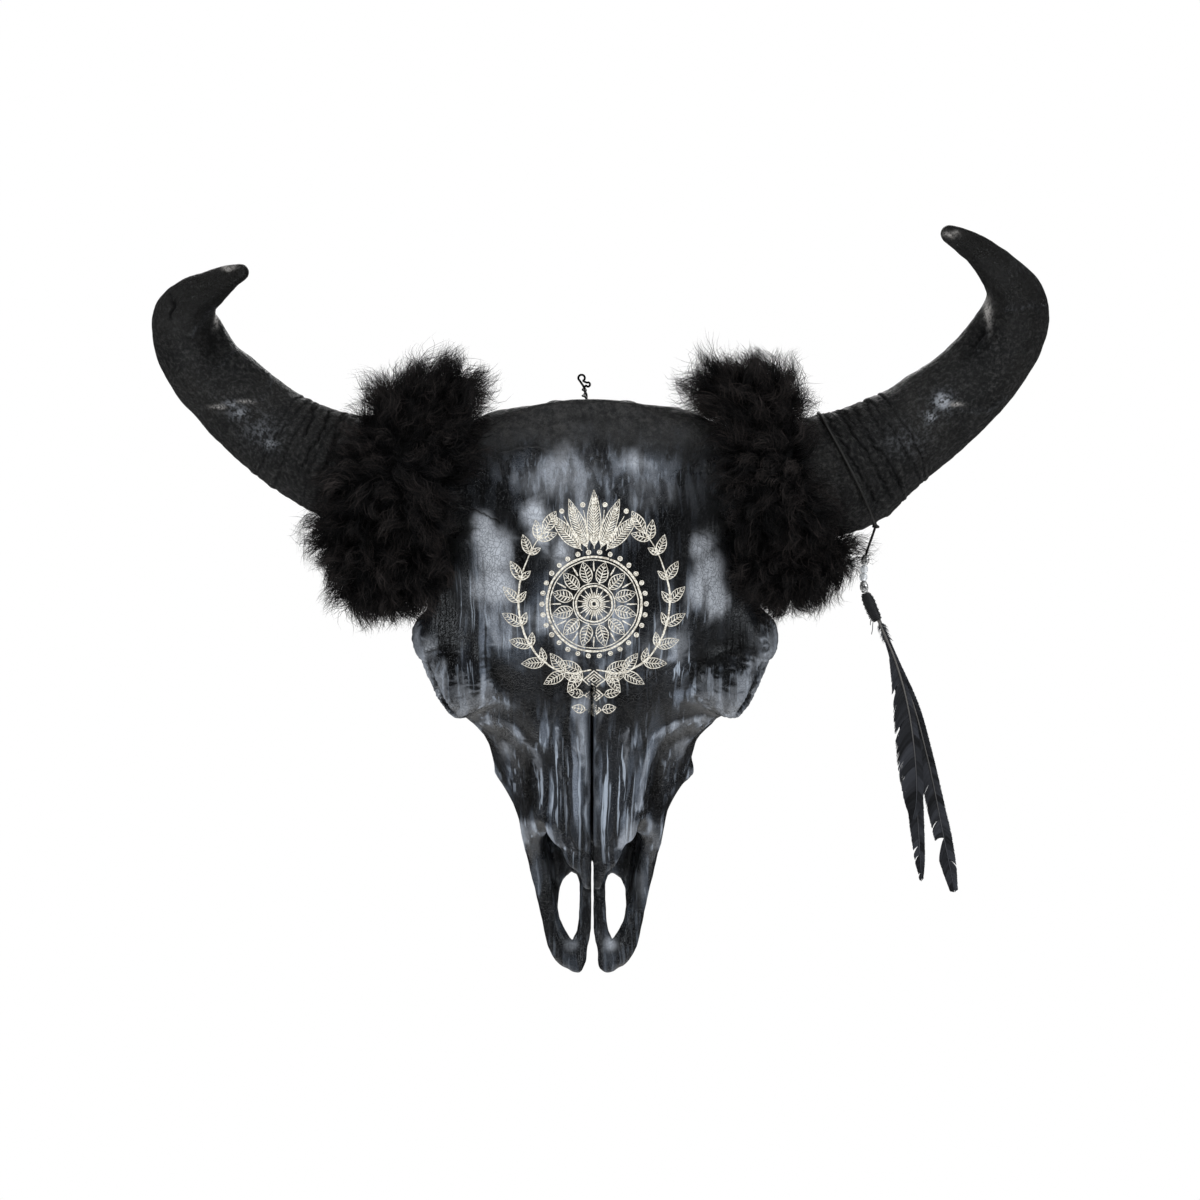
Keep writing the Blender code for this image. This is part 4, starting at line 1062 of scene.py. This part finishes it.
# Wool
woolForm = {
    "middle": {"left": (-140, 395), "right": (142, 392)},
    "coreInset": 15.0, "coreVoxel": 3.4,
    "locks": 800, "length": (17, 29), "turns": (0.7, 1.9), "swing": (1.4, 4.2), "tone": (0.3, 0.22),
    "outward": 0.62, "scatter": 0.38, "longerOnTop": 0.42,
    "strands": 32000, "segments": 6, "width": 0.5, "taper": 0.7,
    "share": (0.62, 1.08), "pull": (0.55, 0.92), "spread": 0.13, "ownSwing": (0.7, 1.3),
    "stray": 0.07, "strayLength": 1.12, "strayPull": 0.05, "straySpread": 0.5,
    "front": -0.222, "overFront": 0.4,
}


def makeWool(side, seed):
    generator = np.random.default_rng(seed)
    core = mergedCopy(f"wool_{side}", f"wool_{side}")
    shrink = core.modifiers.new("Shrink", "DISPLACE")
    shrink.strength = -woolForm["coreInset"] * mm
    shrink.mid_level = 0
    skin = core.modifiers.new("Skin", "REMESH")
    skin.mode = "VOXEL"
    skin.voxel_size = woolForm["coreVoxel"] * mm
    soften = core.modifiers.new("Soften", "SMOOTH")
    soften.iterations = 4
    applyModifiers(core)
    mesh = core.data
    mesh.calc_loop_triangles()
    co, normals = readTriples(mesh.vertices, "co"), readTriples(mesh.vertices, "normal")
    triangles = readTriples(mesh.loop_triangles, "vertices", np.int64)
    a, b, c = co[triangles[:, 0]], co[triangles[:, 1]], co[triangles[:, 2]]
    area = np.linalg.norm(np.cross(b - a, c - a), axis=1)

    def unit(v):
        return v / np.maximum(np.linalg.norm(v, axis=1, keepdims=True), 1e-9)

    def scatter(number):
        pick = generator.choice(len(triangles), number, p=area / area.sum())
        u, v = generator.random((2, number))
        flip = u + v > 1
        u[flip], v[flip] = 1 - u[flip], 1 - v[flip]
        weights = np.stack([1 - u - v, u, v], axis=1)
        spots = np.einsum("ij,ijk->ik", weights, co[triangles[pick]])
        ways = np.einsum("ij,ijk->ik", weights, normals[triangles[pick]])
        return spots, unit(ways)

    # each lock leans out from the middle of the cuff and curls as one
    x, z = woolForm["middle"][side]
    middle = np.array(stand(x, 190, z))
    locks, strands = woolForm["locks"], woolForm["strands"]
    lockRoots, lockWays = scatter(locks)
    outward = lockRoots - middle
    outward[:, 1] = 0
    flow = unit(outward) + np.array([0, 0, -0.25])
    flow = unit(flow - lockWays * (flow * lockWays).sum(1, keepdims=True))
    lockLean = unit(lockWays + woolForm["outward"] * flow + woolForm["scatter"] * generator.normal(size=flow.shape))
    lockLength = generator.uniform(*woolForm["length"], locks) * mm
    high = np.clip((lockRoots[:, 2] - np.quantile(lockRoots[:, 2], 0.86)) / 0.012, 0, 1)
    lockLength *= 1 + woolForm["longerOnTop"] * high * generator.random(locks)
    lockPhase = generator.uniform(0, math.tau, locks)
    lockTurns = generator.uniform(*woolForm["turns"], locks)
    lockSwing = generator.uniform(*woolForm["swing"], locks) * mm
    lockTone = np.clip(generator.normal(*woolForm["tone"], locks), 0, 1)
    roots, ways = scatter(strands)
    nearest = np.empty(strands, dtype=np.int64)
    for start in range(0, strands, 2000):
        gap = roots[start : start + 2000, None, :] - lockRoots[None]
        nearest[start : start + 2000] = np.argmin((gap**2).sum(-1), axis=1)
    stray = generator.random(strands) < woolForm["stray"]
    length = lockLength[nearest] * generator.uniform(*woolForm["share"], strands)
    length *= np.where(stray, woolForm["strayLength"], 1.0)
    spread = np.where(stray, woolForm["straySpread"], woolForm["spread"])[:, None]
    heading = lockLean[nearest] + spread * generator.normal(size=roots.shape)
    pull = np.where(stray, woolForm["strayPull"], generator.uniform(*woolForm["pull"], strands))[:, None]
    ends = lockRoots[nearest] + (roots - lockRoots[nearest]) * (1 - pull) + unit(heading) * length[:, None]
    bulge = roots + ways * length[:, None] * 0.5
    reach = unit(ends - roots)
    sideways = unit(np.cross(reach, np.array([0.31, 0.9, 0.3])))
    other = np.cross(reach, sideways)
    phase = (lockPhase[nearest] + generator.normal(0, 0.45, strands))[:, None]
    turns = lockTurns[nearest][:, None]
    swing = (lockSwing[nearest] * generator.uniform(*woolForm["ownSwing"], strands))[:, None]
    segments = woolForm["segments"]
    vertices, tone = [], []
    ribbon = unit(np.cross(reach, generator.normal(size=roots.shape)))
    tint = np.clip(0.7 * lockTone[nearest] + generator.normal(0.06, 0.24, strands), 0, 1)
    for i in range(segments + 1):
        s = i / segments
        path = roots * (1 - s) ** 2 + bulge * 2 * s * (1 - s) + ends * s**2
        turn = phase + turns * math.tau * s
        path = path + (sideways * np.cos(turn) + other * np.sin(turn)) * swing * min(1.0, s * 1.5)
        path[:, 1] += np.maximum(0, woolForm["front"] - path[:, 1]) * (1 - woolForm["overFront"])
        width = woolForm["width"] * mm * (1 - woolForm["taper"] * s) * 0.5
        if i < segments:
            vertices.append(np.stack([path - ribbon * width, path + ribbon * width], axis=1))
            tone.append(np.repeat((tint * (0.1 + 0.9 * s))[:, None], 2, axis=1))
        else:
            vertices.append(path[:, None, :])
            tone.append(tint[:, None])
    points, tones = np.concatenate(vertices, axis=1), np.concatenate(tone, axis=1)
    quads = [[2 * i, 2 * i + 1, 2 * i + 3, 2 * i + 2] for i in range(segments - 1)]
    last = [2 * segments - 2, 2 * segments - 1, 2 * segments]
    coreFaces = [tuple(p.vertices) for p in mesh.polygons]
    bpy.data.objects.remove(core)
    half = strands // 2
    # the first half of the strands carries the core
    for label, part, start in (("woolCuff", slice(0, half), co), ("woolTufts", slice(half, None), co[:0])):
        some = points[part]
        base = np.arange(len(some))[:, None] * some.shape[1] + len(start)
        faces = list(coreFaces) if len(start) else []
        for corners in (*quads, last):
            faces += [tuple(f) for f in (base + np.array([corners])).tolist()]
        obj = newObject(f"{label}_{side}", np.concatenate([start, some.reshape(-1, 3)]).tolist(), faces)
        addFloats(obj, {"tone": np.concatenate([np.zeros(len(start)), tones[part].reshape(-1)])})
        dress(obj, wool, f"wool_{side}")


makeWool("left", 31)
makeWool("right", 47)
print("wool done")


# Tie, beads and binding
tieForm = {"count": 90, "radius": 1.1, "knotRadius": 0.85}


def makeTie():
    tree = surfaceTree(hornRight)
    top, bottom = stand(166, 183, 431), stand(206, 181, 353)
    centre, down = (top + bottom) / 2, (bottom - top).normalized()
    line = []
    count = tieForm["count"]
    for i in range(count):
        t = math.tau * i / count
        out = down * math.cos(t) + Vector((0, -1, 0)) * math.sin(t)
        hit = tree.ray_cast(centre + out * 0.09, -out)[0]
        line.append(hit + out * 1.15 * mm)
    for _ in range(3):
        line = [(line[i - 1] + line[i] * 2 + line[(i + 1) % count]) / 4 for i in range(count)]
    radii = [(tieForm["radius"] + 0.12 * math.sin(i * 1.9)) * mm for i in range(count)]
    vertices, faces = [], []
    tubeInto(vertices, faces, line, radii, 10, closed=True)
    low = min(line, key=lambda p: p.z)
    knot = smoothLine([low + Vector(p) * mm for p in (
        (-3.4, 0.6, 1.0), (-1.8, -2.0, 0.4), (0.6, -2.6, -0.6), (2.4, -0.6, -1.6), (0.8, 1.6, -2.0),
        (-1.4, 0.6, -1.4), (-0.6, -1.4, -1.2), (1.2, -1.8, 0.4))], 4)
    tubeInto(vertices, faces, knot, [tieForm["knotRadius"] * mm] * len(knot), 8)
    dress(newObject("hornTie", vertices, faces), leather, "horn_tie")


makeTie()


def atHeight(points, z):
    level = (z - eye[2]) * mm
    for before, after in zip(points, points[1:]):
        if before.z >= level >= after.z:
            return before.lerp(after, (before.z - level) / (before.z - after.z))
    return points[-1]


beadForm = {
    "metal": {"sides": 40, "profile": [
        (1.35, 0.03), (1.7, 0.0), (2.1, 0.03), (2.35, 0.1), (2.45, 0.17), (2.2, 0.2), (2.75, 0.24), (3.02, 0.32),
        (3.1, 0.42), (3.1, 0.58), (3.02, 0.68), (2.75, 0.76), (2.2, 0.8), (2.45, 0.83), (2.35, 0.9), (2.1, 0.97),
        (1.7, 1.0), (1.35, 0.97)]},
    "glass": {"sides": 12, "profile": [
        (1.35, 0.04), (1.75, 0.0), (2.45, 0.14), (2.9, 0.36), (2.9, 0.64), (2.45, 0.86), (1.75, 1.0), (1.35, 0.96)]},
}


def makeBead(name, top, bottom, kind):
    # a profile spun round the thong
    facts = beadForm[kind]
    start, end = atHeight(thongRoute, top), atHeight(thongRoute, bottom)
    axis = (end - start).normalized()
    side = axis.cross(Vector((0, 1, 0))).normalized()
    points = [start + side * (r * mm) + axis * ((end - start).length * t) for r, t in facts["profile"]]
    mesh = bpy.data.meshes.new(name)
    count = len(points)
    mesh.from_pydata([tuple(p) for p in points], [(i, (i + 1) % count) for i in range(count)], [])
    obj = addObject(f"{name}_detail", mesh)
    bpy.ops.object.select_all(action="DESELECT")
    bpy.context.view_layer.objects.active = obj
    obj.select_set(True)
    bpy.ops.object.mode_set(mode="EDIT")
    bpy.ops.mesh.select_all(action="SELECT")
    bpy.ops.mesh.spin(steps=facts["sides"], angle=math.tau, center=start, axis=axis, use_auto_merge=True)
    bpy.ops.mesh.select_all(action="SELECT")
    bpy.ops.mesh.remove_doubles(threshold=0.00001)
    bpy.ops.mesh.normals_make_consistent(inside=False)
    bpy.ops.object.mode_set(mode="OBJECT")
    if kind == "metal":
        obj.data.shade_smooth()
    return dress(obj, metal if kind == "metal" else glass, name)


beads = [makeBead(name, top, bottom, "metal" if radius > 3 else "glass")
         for name, (top, bottom, radius) in beadSpans.items()]

bindingForm = {
    "turns": 19, "turnSteps": 16, "threadRadius": 0.55, "endRadius": 0.28,
    "body": (2.0, 3.2, 3.6, 3.8, 3.8, 3.8, 3.7, 3.5, 3.0),
    "ends": [
        [(208.2, 281.5, 176.6), (206.9, 277.0, 176.0), (206.6, 272.5, 176.4), (205.8, 268.6, 176.8)],
        [(207.4, 283.0, 176.8), (205.4, 279.4, 175.8), (205.0, 275.4, 176.2)],
        [(203.0, 297.5, 178.2), (200.6, 296.2, 177.4), (199.2, 293.6, 177.6)],
    ],
}


def makeBinding():
    line = smoothLine([stand(x, hangDistance, z) for x, z in wrapLine], 4)
    radii = [r * mm for r in bindingForm["body"]]
    vertices, faces = [], []
    tubeInto(vertices, faces, line, radii, 24)
    frames = lineFrames(line)
    coil, around = [], bindingForm["turnSteps"]
    steps = bindingForm["turns"] * around
    for i in range(steps + 1):
        s = i / steps * (len(line) - 1)
        k = min(int(s), len(line) - 2)
        f = s - k
        side, up = frames[k][0].lerp(frames[k + 1][0], f), frames[k][1].lerp(frames[k + 1][1], f)
        uneven = 0.36 + 0.16 * math.sin(i * 0.37) + 0.26 * math.sin((i // around) * 2.1)
        radius = radii[k] * (1 - f) + radii[k + 1] * f + uneven * mm
        t = math.tau * i / around
        coil.append(line[k].lerp(line[k + 1], f) + (side * math.cos(t) + up * math.sin(t)) * radius)
    tubeInto(vertices, faces, coil, [bindingForm["threadRadius"] * mm] * len(coil), 6)
    for points in bindingForm["ends"]:
        loose = smoothLine([stand(x, distance, z) for x, z, distance in points], 5)
        tubeInto(vertices, faces, loose, [bindingForm["endRadius"] * mm] * len(loose), 6)
    return dress(newObject("quillBinding", vertices, faces), thread, "quill_wrap")


binding = makeBinding()
print("thong dressed")


# Feathers
featherForm = {
    "spacing": 0.42,
    "barbWidth": 0.62,
    "steps": 5,
    "slits": {"feather_left": [(225.0, -1, 2.8), (197.0, -1, 2.6), (168.0, -1, 1.0), (216.0, 1, 0.8)],
              "feather_middle": [(109.0, -1, 2.3), (102.0, -1, 1.2), (91.5, -1, 1.6), (140.0, -1, 0.7)],
              "feather_right": [(112.0, -1, 7.5), (124.0, -1, 1.5), (98.0, 1, 1.2), (152.0, -1, 0.6)]},
    "clump": (4.0, 12.0),
    "bare": {"feather_left": 14.0, "feather_middle": 5.0, "feather_right": 5.0},
    "down": 90,
    "quillSteps": 60,
    "slant": 1.15,
    "wobble": (0.95, 1.03),
    "layer": 0.09,
}


def makeFeather(name):
    distance, stations = feathers[name]
    generator = np.random.default_rng(len(name) * 13 + 5)
    count = len(stations)
    line = smoothLine([(x, distance + 2.5 * math.sin(math.pi * i / (count - 1)), z)
                       for i, (x, z, _, _) in enumerate(stations)], 12)
    widths = smoothLine([(left, right, 0) for _, _, left, right in stations], 12)
    gone = [0.0]
    for a, b in zip(line, line[1:]):
        gone.append(gone[-1] + (b - a).length)
    total = gone[-1]

    def at(s):
        s = max(0.0, min(total, s))
        k = min(int(np.searchsorted(gone, s, side="right")) - 1, len(line) - 2)
        f = (s - gone[k]) / max(1e-9, gone[k + 1] - gone[k])
        along = (line[k + 1] - line[k]).normalized()
        return line[k].lerp(line[k + 1], f), widths[k].lerp(widths[k + 1], f), along

    vertices, faces, tone = [], [], []
    parts, sides = featherForm["quillSteps"], 8
    quill = [stand(*at(total * i / parts)[0]) for i in range(parts + 1)]
    quill.insert(0, quill[0] + (quill[0] - quill[1]).normalized() * 1.7 * mm)
    last = len(quill) - 1
    tubeInto(vertices, faces, quill, [(0.85 - 0.68 * (i / last)) * mm for i in range(last + 1)], sides)
    tone += [1.75 - 0.5 * (i // sides) / last for i in range(len(vertices))]
    # down at the foot of the vane
    for _ in range(featherForm["down"]):
        spot, _, along = at(generator.uniform(0.5, 13))
        across = Vector((-along.z, 0, along.x)) * generator.choice((-1, 1))
        length = generator.uniform(2.5, 6.5)
        tip = spot + across * length * 0.6 + along * length * 0.7 + Vector((0, generator.normal(0, 1.2), 0))
        elbow = spot.lerp(tip, 0.5) + across * generator.uniform(0.2, 1.0)
        start = len(vertices)
        for place, width in ((spot, 0.16), (elbow, 0.14), (tip, 0.05)):
            vertices += [stand(*(place + along * width)), stand(*(place - along * width))]
        faces += [(start, start + 1, start + 3, start + 2), (start + 2, start + 3, start + 5, start + 4)]
        tone += [generator.uniform(0, 0.8)] * 6
    slits = [(next(gone[k] for k in range(len(line)) if line[k].z <= z), side, size)
             for z, side, size in featherForm["slits"][name]]
    bare = featherForm["bare"][name]
    clumps = {}
    for way in (-1, 1):
        places = [bare]
        while places[-1] < total + 20:
            places.append(places[-1] + generator.uniform(*featherForm["clump"]))
        slits += [(place, way, generator.uniform(0.1, 0.42)) for place in places]
        clumps[way] = (places, generator.uniform(0, 0.75, len(places)), generator.uniform(-0.5, 0.5, len(places)))
    steps = featherForm["steps"]
    s = bare
    while s < total - 0.5:
        for way in (-1, 1):
            _, wide, _ = at(s)
            reach = wide.x if way < 0 else wide.y
            wobble = generator.uniform(*featherForm["wobble"])
            half = 0.5 * featherForm["barbWidth"]
            places, shades, tilts = clumps[way]
            edgeS = s + reach * featherForm["slant"]
            k = int(np.searchsorted(places, edgeS)) - 1
            layer = featherForm["layer"] * ((int(s / featherForm["spacing"]) % 3) - 1)
            shade = shades[k] * 0.7 + generator.uniform(0, 0.3)
            rows = []
            for step in range(steps + 1):
                t = step / steps
                spotS = s + reach * (0.5 * t + 0.65 * t * t)
                spot, here, direction = at(spotS)
                limit = (here.x if way < 0 else here.y) if spotS < total else 0.4
                if spotS > total:
                    spot = line[-1] + direction * min(spotS - total, 1.2)
                target = min(reach * (t**0.9), max(limit, 0.3)) if t < 1 else min(reach, max(limit, 0.3))
                shift = 0.0
                for where, slitSide, size in slits:
                    if slitSide == way and abs(edgeS - where) < 20:
                        gap = edgeS - where
                        fade = math.exp(-abs(gap) / max(2.6, 1.3 * size))
                        shift += math.copysign(1, gap) * size * t ** (1.6 if size < 3 else 1.0) * fade
                across = Vector((-direction.z, 0, direction.x))
                place = spot + across * (way * target * wobble) + direction * shift
                depth = place.y + layer + 0.5 * math.sin(t * 2.2) - 0.3 + tilts[k] * t
                rows.append((Vector((place.x, depth, place.z)), direction))
            start = len(vertices)
            for k, (spot, direction) in enumerate(rows):
                size = half * (1.0 if k < steps else 0.45)
                before = rows[max(k - 1, 0)][0]
                after = rows[min(k + 1, steps)][0]
                barb = (after - before).normalized() if (after - before).length > 1e-6 else direction
                normal = Vector((barb.z, 0, -barb.x))
                vertices.append(stand(*(spot + normal * size)))
                vertices.append(stand(*(spot - normal * size)))
                tone += [shade, shade]
            for k in range(steps):
                a = start + 2 * k
                faces.append((a, a + 1, a + 3, a + 2))
        s += featherForm["spacing"]
    obj = newObject(name.replace("_", "Vane_"), vertices, faces)
    addFloats(obj, {"tone": tone})
    dress(obj, vane, name)


for featherName in feathers:
    makeFeather(featherName)
print("feathers done")


# Wire hanger: two twisted strands that open into the hanging eye and a small side loop
hangerForm = {"radius": 0.84, "sides": 14, "eyeRadius": 2.5, "loopRadius": 1.7, "turnSteps": 15, "steps": 21}


def makeHanger():
    start, end = stand(-6.2, 31, 450), stand(-5.0, 88, 436)
    along = (end - start).normalized()
    side = along.cross(Vector((0, 0, 1))).normalized()
    up = side.cross(along)

    def strand(phase, outward):
        points = []
        for i in range(hangerForm["steps"] + 1):
            t = phase + math.tau * i / hangerForm["turnSteps"]
            shift = (side * math.cos(t) + up * math.sin(t)) * (1.0 + 0.07 * i) * mm
            points.append(start.lerp(end, i / hangerForm["steps"]) + shift)
        return points if outward else points[::-1]

    loop = []
    for (x, distance, z), radius, count, first, turn, rise in (
            (eye, hangerForm["eyeRadius"], 12, -125, -27, 0.1),
            ((-3.4, 32.2, 453.8), hangerForm["loopRadius"], 7, 120, -45, 0.3)):
        for i in range(count):
            t = math.radians(first + turn * i)
            loop.append(stand(x + radius * math.cos(t), distance + rise * i, z + radius * math.sin(t)))
    legs = [[stand(x, 104, 437), stand(x * 1.1 + 0.5, 124, 426)] for x in (-11.5, 2.5)]
    line = [legs[0][1], legs[0][0], *strand(math.pi, False), *loop, *strand(0, True), *legs[1]]
    line = smoothLine(line, 3)
    vertices, faces = [], []
    tubeInto(vertices, faces, line, [hangerForm["radius"] * mm] * len(line), hangerForm["sides"])
    dress(newObject("hangerWire", vertices, faces), wire, "hanger_wire")


makeHanger()
print("hanger done")


# Floor and lights
lightForm = {
    "lights": [
        ("leftSoftbox", (-2.3, -1.5, 0.9), 0.9, 26.0, (0.92, 0.96, 1.0)),
        ("rightSoftbox", (2.4, -1.6, 0.9), 0.9, 26.0, (0.92, 0.96, 1.0)),
        ("topSoftbox", (-0.2, -1.0, 2.2), 0.9, 15.0, (0.96, 0.98, 1.0)),
        ("frontSoftbox", (0.2, -3.6, 0.9), 0.4, 2.6, (0.94, 0.97, 1.0)),
        ("lowLeft", (-1.1, -1.2, -1.3), 0.35, 3.4, (0.88, 0.94, 1.0)),
        ("lowRight", (1.2, -1.2, -1.3), 0.35, 3.4, (0.88, 0.94, 1.0)),
        ("backFill", (0.0, 3.2, 1.2), 1.8, 26.0, (1.0, 1.0, 1.0)),
    ],
    "seen": 1.0,
    "mirrored": 0.04,
    "ambient": 1.0,
    "floorHeight": -2.4,
}


def makeStage():
    shape = bmesh.new()
    bmesh.ops.create_circle(shape, cap_ends=True, segments=96, radius=1.7)
    bmesh.ops.inset_region(shape, faces=list(shape.faces), thickness=0.2)
    for vert in shape.verts:
        vert.co.z = lightForm["floorHeight"] - (0.0 if vert.co.xy.length < 1.6 else 0.02)
        vert.co.y += 1.3
    floor = fromBmesh("paleFloor", shape)
    floor.data.materials.append(grainMaterial(
        "paleFloor", 3.0, 2.0, (0.88, 0.88, 0.88, 1), (0.92, 0.92, 0.92, 1), Roughness=0.7))


def makeLights():
    centre = stand(8, 110, 300)
    for name, place, size, power, colour in lightForm["lights"]:
        data = bpy.data.lights.new(name, "AREA")
        data.shape = "DISK"
        data.size = size
        data.energy = power
        data.color = colour
        lamp = addObject(name, data)
        lamp.location = place
        lamp.rotation_euler = (centre - lamp.location).to_track_quat("-Z", "Y").to_euler()
    world = bpy.data.worlds.new("paleStudio")
    bpy.context.scene.world = world
    world.use_nodes = True
    tree = world.node_tree
    ray = addNode(tree, "ShaderNodeLightPath").outputs
    mirrored = lightForm["mirrored"]
    glow = plus(tree, times(tree, ray["Is Diffuse Ray"], lightForm["ambient"] - mirrored), mirrored)
    through = maths(tree, "MAXIMUM", ray["Is Camera Ray"], ray["Is Transmission Ray"])
    seen = times(tree, through, lightForm["seen"] - mirrored)
    background = tree.nodes["Background"]
    background.inputs["Color"].default_value = (1, 1, 1, 1)
    tree.links.new(plus(tree, glow, seen), background.inputs["Strength"])
    bpy.context.scene.view_settings.view_transform = "Standard"


makeStage()
makeLights()
bpy.context.view_layer.update()
